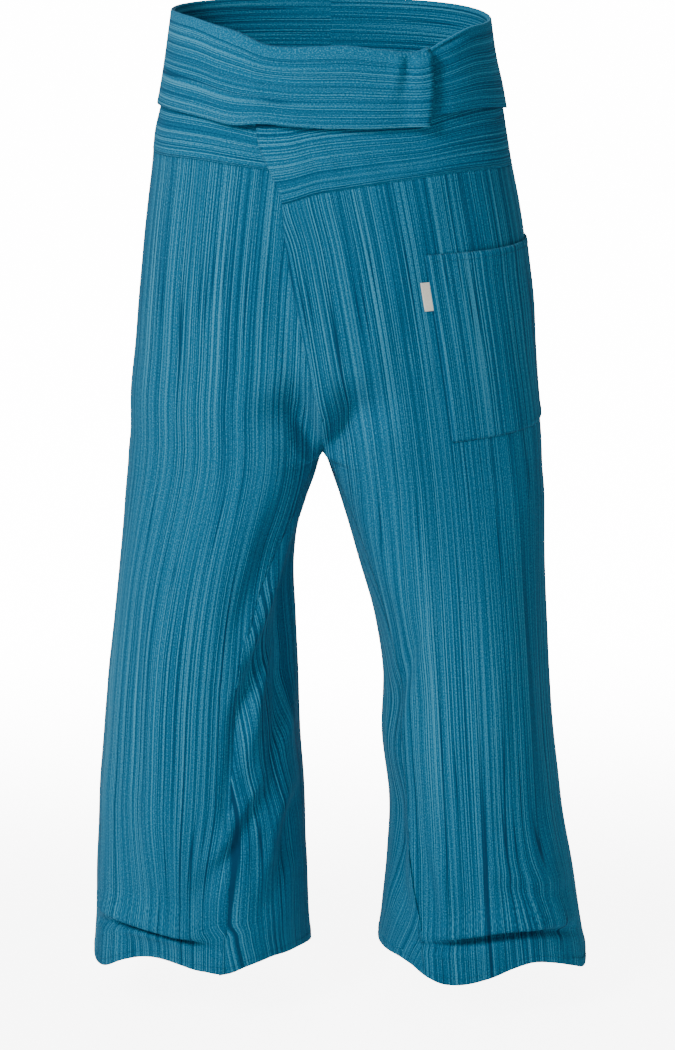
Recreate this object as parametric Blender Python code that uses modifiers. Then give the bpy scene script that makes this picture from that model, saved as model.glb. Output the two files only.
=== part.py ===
"""Thai fisherman pants, worn and standing.

Wide wrap trousers of striped cotton: two leg panels, a waistband folded down as a cuff, its tie, a
patch pocket and a blank label. Metres, Z up, front towards -Y, the wearer's left towards +X.
The origin is the middle of the waist, at the height of the tie.
"""
import math
from collections import namedtuple

import bmesh
import bpy
import numpy as np

# Cloth: the wall, the gap at a seam, and the step from one lying layer to the next
WALL = 0.0010
SEAM_GAP = 0.0003
INSEAM_GAP = 0.0006
LAYER = 0.0016

# The trunk's sections are rounder than an ellipse at the front and square off at the sides
TRUNK_POWER = 2.25

# Centre seam, the heights where the wrap pleat and the trunk end, and how far the crotch rounds
CENTRE_SEAM = -0.0157
RISE_START = -0.300
CROTCH = -0.4134
PLEAT_END = -0.350
FLAP_END = -0.362
FLAP_SETTLED = -0.392
CROTCH_REACH = 0.090
INNER_REACH_MORE = 0.020

RIGHT, LEFT = -1, 1
FRONT, BACK = -1, 1
HEM = {RIGHT: -0.9920, LEFT: -0.9975}
HEM_RISE_START = -0.925
FOLD_START = 0.05

# Sections of the garment, from the waist down. Right and left are the wearer's.
# reach: how far the leg's outer side takes to round into its front. Trunk rows don't use it.
Section = namedtuple("Section", "height right_outer right_inner left_inner left_outer front back reach")
SECTIONS = (
    Section(0.062, -0.1698, CENTRE_SEAM, CENTRE_SEAM, 0.1555, 0.1125, 0.1080, 0.215),
    Section(0.041, -0.1730, CENTRE_SEAM, CENTRE_SEAM, 0.1582, 0.1135, 0.1090, 0.215),
    Section(0.010, -0.1776, CENTRE_SEAM, CENTRE_SEAM, 0.1630, 0.1155, 0.1120, 0.215),
    Section(-0.022, -0.1825, CENTRE_SEAM, CENTRE_SEAM, 0.1705, 0.1180, 0.1160, 0.215),
    Section(-0.038, -0.1855, CENTRE_SEAM, CENTRE_SEAM, 0.1735, 0.1190, 0.1180, 0.215),
    Section(-0.069, -0.1925, CENTRE_SEAM, CENTRE_SEAM, 0.1784, 0.1220, 0.1225, 0.215),
    Section(-0.101, -0.1957, CENTRE_SEAM, CENTRE_SEAM, 0.1841, 0.1245, 0.1280, 0.215),
    Section(-0.150, -0.2020, CENTRE_SEAM, CENTRE_SEAM, 0.1940, 0.1260, 0.1360, 0.215),
    Section(-0.200, -0.2080, CENTRE_SEAM, CENTRE_SEAM, 0.2016, 0.1260, 0.1420, 0.215),
    Section(-0.250, -0.2132, CENTRE_SEAM, CENTRE_SEAM, 0.2078, 0.1250, 0.1435, 0.215),
    Section(-0.300, -0.2175, CENTRE_SEAM, CENTRE_SEAM, 0.2108, 0.1230, 0.1420, 0.215),
    Section(-0.350, -0.2230, CENTRE_SEAM, CENTRE_SEAM, 0.2155, 0.1205, 0.1380, 0.215),
    Section(-0.400, -0.2245, CENTRE_SEAM, CENTRE_SEAM, 0.2207, 0.1190, 0.1335, 0.215),
    Section(CROTCH, -0.2260, -0.0167, -0.0147, 0.2215, 0.1185, 0.1320, 0.2238),
    Section(-0.430, -0.2272, -0.0203, -0.0090, 0.2223, 0.1185, 0.1305, 0.213),
    Section(-0.463, -0.2305, -0.0315, 0.0022, 0.2251, 0.1185, 0.1280, 0.184),
    Section(-0.497, -0.2333, -0.0420, 0.0125, 0.2258, 0.1185, 0.1260, 0.150),
    Section(-0.531, -0.2370, -0.0462, 0.0218, 0.2264, 0.1185, 0.1245, 0.130),
    Section(-0.599, -0.2438, -0.0461, 0.0406, 0.2296, 0.1180, 0.1220, 0.110),
    Section(-0.668, -0.2506, -0.0441, 0.0507, 0.2340, 0.1165, 0.1200, 0.105),
    Section(-0.738, -0.2563, -0.0421, 0.0499, 0.2397, 0.1140, 0.1180, 0.105),
    Section(-0.809, -0.2632, -0.0367, 0.0568, 0.2476, 0.1110, 0.1160, 0.108),
    Section(-0.880, -0.2668, -0.0347, 0.0549, 0.2590, 0.1085, 0.1140, 0.110),
    Section(-0.953, -0.2704, -0.0326, 0.0484, 0.2716, 0.1060, 0.1110, 0.115),
    Section(-1.000, -0.2725, -0.0292, 0.0440, 0.2790, 0.1050, 0.1100, 0.118),
)

# Where each leg's inseam runs on its front, and the line of the pocket's front edge
Line = namedtuple("Line", "height right_inseam left_inseam pocket")
LINES = (
    Line(-0.100, CENTRE_SEAM, CENTRE_SEAM, 0.0740),
    Line(-0.180, CENTRE_SEAM, CENTRE_SEAM, 0.0890),
    Line(-0.380, CENTRE_SEAM, CENTRE_SEAM, 0.1201),
    Line(CROTCH, -0.0167, -0.0147, 0.1240),
    Line(-0.430, -0.0290, -0.0040, 0.1260),
    Line(-0.463, -0.0440, 0.0110, 0.1290),
    Line(-0.550, -0.0800, 0.0420, 0.1360),
    Line(-0.630, -0.1010, 0.0620, 0.1410),
    Line(-0.717, -0.1090, 0.0690, 0.1460),
    Line(-0.847, -0.1160, 0.0784, 0.1540),
    Line(-1.000, -0.1250, 0.0960, 0.1640),
)

# Fold edges of the wrap: the free edge on the wearer's right and the hidden one on the left
Wrap = namedtuple("Wrap", "height free hidden")
WRAP = (
    Wrap(0.062, -0.0790, 0.0870),
    Wrap(-0.047, -0.0768, 0.0880),
    Wrap(-0.100, -0.0560, 0.0740),
    Wrap(-0.135, -0.0541, 0.0630),
    Wrap(-0.161, -0.0529, 0.0550),
    Wrap(-0.218, -0.0449, 0.0380),
    Wrap(-0.262, -0.0367, 0.0220),
    Wrap(-0.307, -0.0275, 0.0060),
    Wrap(-0.350, -0.0188, -0.0100),
    Wrap(-0.362, -0.0142, -0.0110),
    Wrap(-0.380, -0.0142, -0.0120),
)

# Heights round the waist, by turn in degrees: 0 is the wearer's left side, -90 the front, 90 the back
# fold: the base of the fold at the top. under and over: the band seam on the wrap's inner and outer
# layer. cuff and cuff_left: the cuff's lower edge on its outer layer and past the wrap's end.
Edge = namedtuple("Edge", "turn fold under over cuff cuff_left")
EDGES = (
    Edge(-180, 0.0562, -0.0892, -0.1268, -0.0387, -0.0382),
    Edge(-158, 0.0569, -0.0880, -0.1268, -0.0392, -0.0382),
    Edge(-143, 0.0543, -0.0866, -0.1268, -0.0412, -0.0382),
    Edge(-133, 0.0487, -0.0868, -0.1400, -0.0440, -0.0382),
    Edge(-122, 0.0400, -0.0896, -0.1370, -0.0470, -0.0382),
    Edge(-113, 0.0298, -0.0920, -0.1315, -0.0440, -0.0382),
    Edge(-105, 0.0277, -0.0934, -0.1268, -0.0462, -0.0382),
    Edge(-95, 0.0283, -0.0940, -0.1165, -0.0478, -0.0382),
    Edge(-85, 0.0290, -0.0945, -0.1112, -0.0482, -0.0382),
    Edge(-72, 0.0247, -0.0945, -0.1050, -0.0480, -0.0382),
    Edge(-59, 0.0223, -0.0945, -0.1008, -0.0474, -0.0382),
    Edge(-49, 0.0339, -0.0945, -0.0988, -0.0474, -0.0370),
    Edge(-36, 0.0444, -0.0945, -0.0990, -0.0474, -0.0358),
    Edge(-20, 0.0460, -0.0945, -0.1010, -0.0474, -0.0395),
    Edge(0, 0.0470, -0.0945, -0.1040, -0.0474, -0.0455),
    Edge(45, 0.0530, -0.0950, -0.1000, -0.0445, -0.0445),
    Edge(90, 0.0550, -0.0960, -0.0960, -0.0430, -0.0430),
    Edge(135, 0.0560, -0.0920, -0.0920, -0.0410, -0.0410),
    Edge(180, 0.0562, -0.0892, -0.0892, -0.0387, -0.0387),
)
TURN_WIDTH = 0.176
TURN_DEPTH = 0.124
TURN_CENTRE = -0.0065

# Hem of each leg, by share of the way round from its inner side through the front
Hem = namedtuple("Hem", "share lift push")
HEMS = {
    RIGHT: (
        Hem(0.00, 0.008, 0.000), Hem(0.08, 0.017, -0.003), Hem(0.136, 0.018, -0.003),
        Hem(0.175, 0.014, 0.000), Hem(0.208, 0.008, 0.004), Hem(0.244, 0.010, 0.002),
        Hem(0.281, 0.015, -0.003), Hem(0.317, 0.021, -0.006), Hem(0.356, 0.019, -0.005),
        Hem(0.385, 0.012, 0.000), Hem(0.415, 0.000, 0.002), Hem(0.50, 0.002, 0.000),
        Hem(0.60, 0.005, 0.003), Hem(0.70, 0.000, -0.003), Hem(0.80, 0.004, 0.003),
        Hem(0.90, 0.006, -0.002), Hem(1.00, 0.008, 0.000),
    ),
    LEFT: (
        Hem(0.00, 0.014, 0.000), Hem(0.064, 0.018, -0.002), Hem(0.10, 0.018, -0.003),
        Hem(0.128, 0.014, -0.001), Hem(0.155, 0.006, 0.002), Hem(0.189, 0.000, 0.004),
        Hem(0.225, 0.001, 0.003), Hem(0.258, 0.006, 0.000), Hem(0.294, 0.014, -0.003),
        Hem(0.333, 0.020, -0.004), Hem(0.378, 0.014, -0.002), Hem(0.411, 0.005, 0.000),
        Hem(0.442, -0.004, 0.002), Hem(0.49, 0.004, 0.000), Hem(0.56, 0.007, 0.000),
        Hem(0.65, 0.002, 0.003), Hem(0.75, 0.006, -0.003), Hem(0.85, 0.002, 0.003),
        Hem(0.93, 0.009, 0.000), Hem(1.00, 0.014, 0.000),
    ),
}

# Large folds: a line from its top to its low end on one face, its half width and how far it stands out
Fold = namedtuple("Fold", "leg face x_top z_top x_low z_low half_width depth")
FOLDS = (
    Fold(RIGHT, FRONT, -0.040, -0.470, -0.104, -0.660, 0.014, 0.0045),
    Fold(RIGHT, FRONT, -0.066, -0.560, -0.116, -0.740, 0.012, -0.0060),
    Fold(RIGHT, FRONT, -0.056, -0.610, -0.092, -0.730, 0.011, 0.0050),
    Fold(RIGHT, FRONT, -0.040, -0.640, -0.074, -0.750, 0.011, -0.0050),
    Fold(RIGHT, FRONT, -0.060, -0.730, -0.160, -0.915, 0.015, -0.0055),
    Fold(RIGHT, FRONT, -0.034, -0.785, -0.080, -0.930, 0.014, -0.0050),
    Fold(RIGHT, FRONT, -0.255, -0.921, -0.130, -0.946, 0.011, -0.0070),
    Fold(RIGHT, FRONT, -0.245, -0.895, -0.150, -0.905, 0.016, 0.0050),
    Fold(RIGHT, BACK, -0.060, -0.400, -0.180, -0.620, 0.020, 0.0060),
    Fold(RIGHT, BACK, -0.100, -0.560, -0.060, -0.800, 0.018, -0.0060),
    Fold(RIGHT, BACK, -0.190, -0.700, -0.160, -0.960, 0.018, 0.0060),
    Fold(LEFT, FRONT, 0.090, -0.953, 0.150, -0.938, 0.010, -0.0065),
    Fold(LEFT, FRONT, 0.150, -0.938, 0.262, -0.936, 0.010, -0.0065),
    Fold(LEFT, FRONT, 0.130, -0.912, 0.240, -0.905, 0.015, 0.0050),
    Fold(LEFT, FRONT, 0.068, -0.770, 0.074, -0.945, 0.009, -0.0040),
    Fold(LEFT, FRONT, 0.100, -0.820, 0.104, -0.940, 0.010, -0.0030),
    Fold(LEFT, FRONT, 0.088, -0.590, 0.054, -0.740, 0.014, -0.0040),
    Fold(LEFT, BACK, 0.050, -0.400, 0.160, -0.640, 0.020, 0.0060),
    Fold(LEFT, BACK, 0.100, -0.580, 0.080, -0.820, 0.018, -0.0060),
    Fold(LEFT, BACK, 0.190, -0.660, 0.170, -0.960, 0.018, 0.0060),
)

# How the panels are divided
LEG_HEIGHTS = (
    -0.100, -0.140, -0.181, -0.220, -0.262, -0.300, -0.335, PLEAT_END, FLAP_END, -0.381, -0.398, -0.408,
    CROTCH, -0.426, -0.447, -0.475, -0.510, -0.550, -0.595, -0.640, -0.685, -0.730, -0.780, -0.830,
    -0.870, -0.902, -0.923, -0.942, -0.965, None,
)
SEAM_HEIGHT = LEG_HEIGHTS[0]
SEAM_FADE = {0: 1.0, 1: 0.5}
FRONT_COLUMNS = (8, 9)
BACK_COLUMNS = 21
POCKET_ROWS = (2, 9)
POCKET_COLUMNS = (FRONT_COLUMNS[0], sum(FRONT_COLUMNS) + 1)
LABEL_TOP = -0.2095
LABEL_LOW = -0.2399
LABEL_WIDTH = 0.0095
LABEL_ROWS = 4

# Waistband columns: back to right side, to the free fold, to the hidden fold; then left side and back
BACK_STEPS = 12
SIDE_STEPS = FRONT_COLUMNS[1]
WRAP_STEPS = FRONT_COLUMNS[0]
OVER_START = BACK_STEPS + SIDE_STEPS + 2 * (WRAP_STEPS + 1)
HIP_SHARES = (0.0, 0.11, 0.22, 0.42, 0.60, 0.80, 1.0)
CREST_ANGLES = (35, 90, 145)
CUFF_SHARES = (0.0, 0.35, 0.70, 1.0)
FOLD_HEIGHT = 0.040
CUFF_HEIGHT = -0.045
UNWRAP = 0.050
UNWRAP_START = 0.015

# Layers lying over one another at the front, counted outwards from the hip's inner layer
HIP_LAYERS = (0, 1, 2)
TIE_LAYER = 3
CUFF_LAYERS = (7, 6, 5)
SETTLED_CUFF = 2
TIE_TOP = 0.006
TIE_LOW = -0.022
TIE_ENDS = 0.035
TIE_CROSS = -0.072
TIE_CROSS_RUN = 0.025
TIE_STEPS = 6

DENSE = 240
TURN_MEASURE = 0.06
CLOTH_COLOUR = (0.016, 0.155, 0.295, 1.0)
LABEL_COLOUR = (0.72, 0.66, 0.52, 1.0)


def read(table, column, at):
    """Value of a table's column at any key, on a smooth curve through the rows."""
    keys = np.array([row[0] for row in table], dtype=float)
    values = np.array([getattr(row, column) for row in table], dtype=float)
    if keys[0] > keys[-1]:
        keys, values = keys[::-1], values[::-1]
    slopes = np.gradient(values, keys)
    at = np.clip(np.asarray(at, dtype=float), keys[0], keys[-1])
    low = np.clip(np.searchsorted(keys, at) - 1, 0, len(keys) - 2)
    step = keys[low + 1] - keys[low]
    s = (at - keys[low]) / step
    return ((2 * s**3 - 3 * s**2 + 1) * values[low] + (s**3 - 2 * s**2 + s) * step * slopes[low]
            + (3 * s**2 - 2 * s**3) * values[low + 1] + (s**3 - s**2) * step * slopes[low + 1])


def ease(share):
    """Smooth step from 0 to 1."""
    share = np.clip(share, 0.0, 1.0)
    return share * share * (3 - 2 * share)


def quarter(share, power=TRUNK_POWER):
    """Quarter of a rounded section: 0 at its edge, 1 at its crest."""
    share = np.clip(share, 0.0, 1.0)
    return (1 - (1 - share) ** power) ** (1 / power)


def outer_column(side):
    """Name of the column that holds a leg's outer side."""
    return "left_outer" if side == LEFT else "right_outer"


def inner_column(side):
    """Name of the column that holds a leg's inner side."""
    return "left_inner" if side == LEFT else "right_inner"


def rise_share(height):
    """How far the centre seam has left the front on its way under the body: 0 to 1 at the crotch."""
    drop = np.clip((RISE_START - height) / (RISE_START - CROTCH), 0.0, 1.0)
    return 1 - np.sqrt(1 - drop**2)


def depth_at(x, height, face, side):
    """Y of the cloth's base surface at x, on its front or back."""
    x = np.asarray(x, dtype=float)
    right = read(SECTIONS, "right_outer", height)
    left = read(SECTIONS, "left_outer", height)
    depth = read(SECTIONS, "front" if face == FRONT else "back", height)
    if np.min(height) >= CROTCH:
        centre = (right + left) / 2
        outer = np.where(x < centre, (x - right) / (centre - right), (left - x) / (left - centre))
        share = rise_share(height)
        off_seam = np.abs(x - CENTRE_SEAM) / CROTCH_REACH
        soft = (1 - np.cos(math.pi * np.clip(off_seam, 0.0, 1.0))) / 2
        hard = ease((share - 0.25) / 0.6)
        hollow = (1 - hard) * soft + hard * quarter(off_seam)
        return face * depth * quarter(outer) * (1 - share + share * hollow)
    edge = left if side == LEFT else right
    inner = read(SECTIONS, inner_column(side), height)
    reach = read(SECTIONS, "reach", height)
    inner_reach = CROTCH_REACH + INNER_REACH_MORE * ease((CROTCH - height) / (2 * CROTCH_REACH))
    return face * depth * quarter(np.abs(x - edge) / reach) * quarter(np.abs(x - inner) / inner_reach)


def turn_at(x, y):
    """Turn in degrees round the waist of a point of its ring."""
    return np.degrees(np.arctan2(np.asarray(y) / TURN_DEPTH, (np.asarray(x) - TURN_CENTRE) / TURN_WIDTH))


def unwrapped(x, height):
    """How far past the hidden fold a point lies, 0 on the wrap to 1 where the layers have settled."""
    return ease((x - read(WRAP, "hidden", height) - UNWRAP_START) / UNWRAP)


def seam_half_gap(height):
    """Half the gap between the two legs at the centre seam, wider where their walls face each other."""
    return SEAM_GAP / 2 + (WALL / 2) * ease((FLAP_END - height) / 0.010)


def spread(start, stop):
    """Values from start to stop, closer together at both ends."""
    return start + (stop - start) * (1 - np.cos(np.linspace(0, math.pi, DENSE))) / 2


def base_row(side, height):
    """X and Y of one leg panel's columns on the base surface, and which face each lies on."""
    closed = height < CROTCH
    outer = float(read(SECTIONS, outer_column(side), height))
    pocket = float(read(LINES, "pocket", height))
    if closed:
        inner = float(read(SECTIONS, inner_column(side), height))
        inseam = float(read(LINES, "left_inseam" if side == LEFT else "right_inseam", height))
        start, end = inseam + side * INSEAM_GAP / 2, inseam - side * INSEAM_GAP / 2
    else:
        inner = CENTRE_SEAM + side * float(seam_half_gap(height))
        start = inner
        if side == LEFT and height >= FLAP_END:
            start = float(read(WRAP, "free", height))
    stretches = [(spread(start, outer), FRONT), (spread(outer, inner), BACK)]
    if closed:
        stretches.append((spread(inner, end), FRONT))
    xs = np.concatenate([xs for xs, face in stretches])
    faces = np.concatenate([np.full(DENSE, face) for xs, face in stretches])
    ys = np.concatenate([depth_at(xs, height, face, side) for xs, face in stretches])
    along = measured(xs, ys)
    middle = pocket if side == LEFT else (start + outer) / 2
    marks = [0.0, np.interp(side * middle, side * xs[:DENSE], along[:DENSE]), along[DENSE], along[-1]]
    counts = (*FRONT_COLUMNS, BACK_COLUMNS)
    stops = [np.linspace(a, b, n, endpoint=False) for a, b, n in zip(marks, marks[1:], counts)]
    stops = np.concatenate([*stops, [marks[-1]]])
    return np.interp(stops, along, xs), np.interp(stops, along, ys), faces[np.searchsorted(along, stops)]


def measured(xs, ys):
    """Running measure of a row: its length, plus a little wherever it turns."""
    lengths = np.hypot(np.diff(xs), np.diff(ys))
    heading = np.unwrap(np.arctan2(np.diff(ys), np.diff(xs)))
    turning = np.abs(np.diff(heading, prepend=heading[0]))
    turning[lengths < 1e-9] = 0
    return np.concatenate([[0], np.cumsum(lengths + TURN_MEASURE * turning)])


def outward(xs, ys, side):
    """Unit normals in plan along a row of points."""
    tangent_x, tangent_y = np.gradient(xs), np.gradient(ys)
    size = np.hypot(tangent_x, tangent_y)
    return side * tangent_y / size, -side * tangent_x / size


def hem_share(xs, ys, side, height):
    """Share of the way round a leg, from its inner side through the front."""
    outer, inner = read(SECTIONS, outer_column(side), height), read(SECTIONS, inner_column(side), height)
    inward = -side * (xs - (outer + inner) / 2)
    return (np.arctan2(-ys, inward) / (2 * math.pi)) % 1.0


def fold_depth(xs, ys, zs, side):
    """How far the large folds move the cloth outwards at each point."""
    total = np.zeros_like(xs)
    for fold in FOLDS:
        if fold.leg != side:
            continue
        run = np.array([fold.x_low - fold.x_top, fold.z_low - fold.z_top])
        length = np.hypot(*run)
        along = ((xs - fold.x_top) * run[0] + (zs - fold.z_top) * run[1]) / length
        off = ((xs - fold.x_top) * run[1] - (zs - fold.z_top) * run[0]) / length
        ends = ease((along + 0.02) / 0.05) * ease((length + 0.02 - along) / 0.05)
        face = ease((fold.face * ys - 0.015) / 0.05)
        total += fold.depth * np.exp(-(off / fold.half_width) ** 2) * ends * face
    return total


def leg_points(side):
    """Rows of points of a leg panel, and the outward direction at each."""
    points, normals = [], []
    for index, nominal in enumerate(LEG_HEIGHTS):
        height = HEM[side] if nominal is None else nominal
        xs, ys, faces = base_row(side, height)
        zs = np.full_like(xs, height)
        if index in SEAM_FADE:
            edge = read(EDGES, "over" if side == LEFT else "under", turn_at(xs, ys)) - SEAM_GAP / 2
            zs += (edge - SEAM_HEIGHT) * SEAM_FADE[index]
            xs, ys = moved_to(xs, faces, height, zs, side)
        nx, ny = outward(xs, ys, side)
        if height < CROTCH:
            nx[[0, -1]], ny[[0, -1]] = (nx[0] + nx[-1]) / 2, (ny[0] + ny[-1]) / 2
        level = np.zeros_like(xs)
        if side == LEFT:
            settling = ease((height - FLAP_SETTLED) / (PLEAT_END - FLAP_SETTLED))
            level = HIP_LAYERS[2] * LAYER * settling * (1 - unwrapped(xs, height)) * (faces == FRONT)
        if height < CROTCH:
            level = fold_depth(xs, ys, zs, side) * ease((CROTCH - height) / FOLD_START)
            around = hem_share(xs, ys, side, height)
            near_hem = ease((HEM_RISE_START - height) / (HEM_RISE_START - HEM[side]))
            zs = zs + read(HEMS[side], "lift", around) * near_hem
            level = level + read(HEMS[side], "push", around) * near_hem
        points.append(np.stack([xs + nx * level, ys + ny * level, zs], axis=1))
        normals.append(np.stack([nx, ny, np.zeros_like(nx)], axis=1))
    return np.array(points), np.array(normals)


def moved_to(xs, faces, height, zs, side):
    """The same columns of a trunk row, each at its own height."""
    def middle_and_half(at):
        right, left = read(SECTIONS, "right_outer", at), read(SECTIONS, "left_outer", at)
        return (right + left) / 2, (left - right) / 2
    old_middle, old_half = middle_and_half(height)
    middle, half = middle_and_half(zs)
    xs = middle + (xs - old_middle) * half / old_half
    ys = np.where(faces == FRONT, depth_at(xs, zs, FRONT, side), depth_at(xs, zs, BACK, side))
    return xs, ys


def pleat_rows(main):
    """Hidden part of the left leg: from the centre seam to the hidden fold, and back to the free one."""
    rows = []
    for index, height in enumerate(LEG_HEIGHTS):
        if height is None or height < PLEAT_END:
            break
        free, hidden = float(read(WRAP, "free", height)), float(read(WRAP, "hidden", height))
        inner = CENTRE_SEAM + SEAM_GAP / 2
        row = []
        flap = base_row(LEFT, height)[0][:WRAP_STEPS + 1]
        flap = (flap - flap[0]) / (flap[-1] - flap[0])
        for layer, start, stop in ((0, inner, hidden), (1, hidden, free)):
            xs = start + (stop - start) * (flap if layer == 0 else 1 - flap[::-1])
            ys = depth_at(xs, height, FRONT, LEFT)
            under = read(EDGES, "under", turn_at(xs, ys)) - SEAM_GAP / 2
            over = main[0, 0, 2]
            share = np.linspace(0, 1, WRAP_STEPS + 1) * layer
            edge = under + (over - under) * share
            zs = height + (edge - SEAM_HEIGHT) * SEAM_FADE.get(index, 0.0)
            ys = depth_at(xs, zs, FRONT, LEFT)
            slope = (depth_at(xs + 0.001, zs, FRONT, LEFT) - depth_at(xs - 0.001, zs, FRONT, LEFT)) / 0.002
            size = np.hypot(1, slope)
            off = HIP_LAYERS[layer] * LAYER
            row.append(np.stack([xs + off * slope / size, ys - off / size, zs], axis=1))
        rows.append(np.concatenate(row))
    return np.array(rows)


def cloth(name, points, collection, material, ring=False, drop=None):
    """Cloth solid: a grid laid through rows of points, then given the wall's thickness.

    drop marks the grid points that the panel doesn't have.
    """
    rows, columns = points.shape[:2]
    grid = bmesh.new()
    bmesh.ops.create_grid(grid, x_segments=columns - 1, y_segments=rows - 1, size=1)
    grid.verts.ensure_lookup_table()
    for vert, place in zip(grid.verts, points.reshape(-1, 3)):
        vert.co = place
    if drop is not None:
        gone = [vert for vert, out in zip(list(grid.verts), drop.reshape(-1)) if out]
        bmesh.ops.delete(grid, geom=gone, context="VERTS")
    if ring:
        bmesh.ops.remove_doubles(grid, verts=grid.verts, dist=1e-5)
    for face in grid.faces:
        face.smooth = True
    mesh = bpy.data.meshes.new(name)
    grid.to_mesh(mesh)
    grid.free()
    mesh.materials.append(material)
    panel = bpy.data.objects.new(name, mesh)
    collection.objects.link(panel)
    wall = panel.modifiers.new("Wall", "SOLIDIFY")
    wall.thickness = WALL
    wall.offset = 0
    wall.use_even_offset = True
    return panel


def ring_xy(angle, height):
    """Point of the trunk's base ring at an angle of its section."""
    right, left = read(SECTIONS, "right_outer", height), read(SECTIONS, "left_outer", height)
    cosine, sine = np.cos(np.radians(angle)), np.sin(np.radians(angle))
    across = np.sign(cosine) * np.abs(cosine) ** (2 / TRUNK_POWER)
    depth = np.where(sine < 0, read(SECTIONS, "front", height), read(SECTIONS, "back", height))
    x = (right + left) / 2 + (left - right) / 2 * across
    return x, np.sign(sine) * depth * np.abs(sine) ** (2 / TRUNK_POWER)


def ring_angle(x, height):
    """Angle of the trunk's section where its front stands at x."""
    right, left = read(SECTIONS, "right_outer", height), read(SECTIONS, "left_outer", height)
    across = (x - (right + left) / 2) / ((left - right) / 2)
    return -math.degrees(math.acos(np.sign(across) * abs(across) ** (TRUNK_POWER / 2)))


def ring_stops(start, stop, steps, height):
    """Angles from start to stop, evenly along the cloth and closer where it turns."""
    angles = np.linspace(start, stop, DENSE)
    xs, ys = ring_xy(angles, height)
    measure = measured(xs, ys)
    return np.interp(np.linspace(0, measure[-1], steps + 1), measure, angles)


def ring_place(angle, height, off):
    """Point off the trunk's base ring by a distance outwards."""
    x, y = ring_xy(angle, height)
    x_after, y_after = ring_xy(angle + 0.5, height)
    x_before, y_before = ring_xy(angle - 0.5, height)
    tangent = np.array([x_after - x_before, y_after - y_before])
    tangent = tangent / np.hypot(*tangent)
    return np.array([x + tangent[1] * off, y - tangent[0] * off, np.broadcast_to(height, np.shape(x))])


def band_columns(height):
    """Angle and wrap layer of each waistband column at one height, from the back round to the back."""
    free = ring_angle(float(read(WRAP, "free", height)), height)
    hidden = ring_angle(float(read(WRAP, "hidden", height)), height)
    stretches = (
        (-270, -180, BACK_STEPS, 0), (-180, free, SIDE_STEPS, 0), (free, hidden, WRAP_STEPS, 0),
        (hidden, free, WRAP_STEPS, 1),
        (free, hidden, WRAP_STEPS, 2), (hidden, 0, SIDE_STEPS, 2), (0, 90, BACK_STEPS, 2),
    )
    angles, layers = [], []
    for start, stop, steps, layer in stretches:
        stops = ring_stops(start, stop, steps, height)
        first = 1 if layers and layers[-1] == layer else 0
        angles.extend(stops[first:])
        layers.extend([layer] * (steps + 1 - first))
    return np.array(angles), np.array(layers)


def hip_layer(x, y, layer, height):
    """Layers that the hip part lies out from the base surface."""
    if layer < 2:
        return HIP_LAYERS[layer]
    return 0.0 if y > 0 else HIP_LAYERS[2] * (1 - float(unwrapped(x, height)))


def wrap_share(x, y, height):
    """1 on the wrap, falling to 0 on both sides of it and at the back."""
    if y > 0:
        return 0.0
    before = ease((float(read(WRAP, "free", height)) - x - UNWRAP_START) / UNWRAP)
    return float((1 - before) * (1 - unwrapped(x, height)))


def cuff_layer(x, y, layer, height):
    """Layers that the cuff lies out from the base surface."""
    return SETTLED_CUFF + (CUFF_LAYERS[layer] - SETTLED_CUFF) * wrap_share(x, y, height)


def band_points():
    """Profiles of the waistband: up the hip part, over the fold and down the cuff."""
    count = len(band_columns(0.0)[0])
    profiles = [[] for _ in range(count)]
    free = ring_angle(float(read(WRAP, "free", SEAM_HEIGHT)), SEAM_HEIGHT)
    free_seam = float(read(EDGES, "over", turn_at(*ring_xy(free, SEAM_HEIGHT))))
    for share in HIP_SHARES:
        nominal = SEAM_HEIGHT + (FOLD_HEIGHT - SEAM_HEIGHT) * share
        for index, (angle, layer) in enumerate(zip(*band_columns(nominal))):
            x, y = ring_xy(angle, nominal)
            turn = turn_at(x, y)
            under, over = (float(read(EDGES, name, turn)) for name in ("under", "over"))
            seam = {0: under, 2: over}.get(layer)
            if layer == 1:
                towards_free = 1 - (OVER_START - 1 - index) / WRAP_STEPS
                seam = under + (free_seam - under) * towards_free
            low = seam + SEAM_GAP / 2
            height = low + (float(read(EDGES, "fold", turn)) - low) * share
            off = hip_layer(x, y, layer, nominal) * LAYER
            profiles[index].append(ring_place(angle, height, off))
    for index, (angle, layer) in enumerate(zip(*band_columns(FOLD_HEIGHT))):
        x, y = ring_xy(angle, FOLD_HEIGHT)
        base = float(read(EDGES, "fold", turn_at(x, y)))
        hip, cuff = hip_layer(x, y, layer, FOLD_HEIGHT), cuff_layer(x, y, layer, FOLD_HEIGHT)
        for crest in CREST_ANGLES:
            radius = (cuff - hip) / 2 * LAYER
            off = (cuff + hip) / 2 * LAYER - radius * math.cos(math.radians(crest))
            place = ring_place(angle, base, off)
            place[2] += radius * math.sin(math.radians(crest))
            profiles[index].append(place)
    for share in CUFF_SHARES:
        nominal = FOLD_HEIGHT + (CUFF_HEIGHT - FOLD_HEIGHT) * share
        for index, (angle, layer) in enumerate(zip(*band_columns(nominal))):
            x, y = ring_xy(angle, nominal)
            turn = turn_at(x, y)
            outer, past = (float(read(EDGES, name, turn)) for name in ("cuff", "cuff_left"))
            low = outer + (past - outer) * float(ease((index - OVER_START) / WRAP_STEPS))
            base = float(read(EDGES, "fold", turn))
            off = cuff_layer(x, y, layer, nominal) * LAYER
            profiles[index].append(ring_place(angle, base + (low - base) * share, off))
    profiles[-1] = profiles[0]
    return np.array(profiles).transpose(1, 0, 2)


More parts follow.
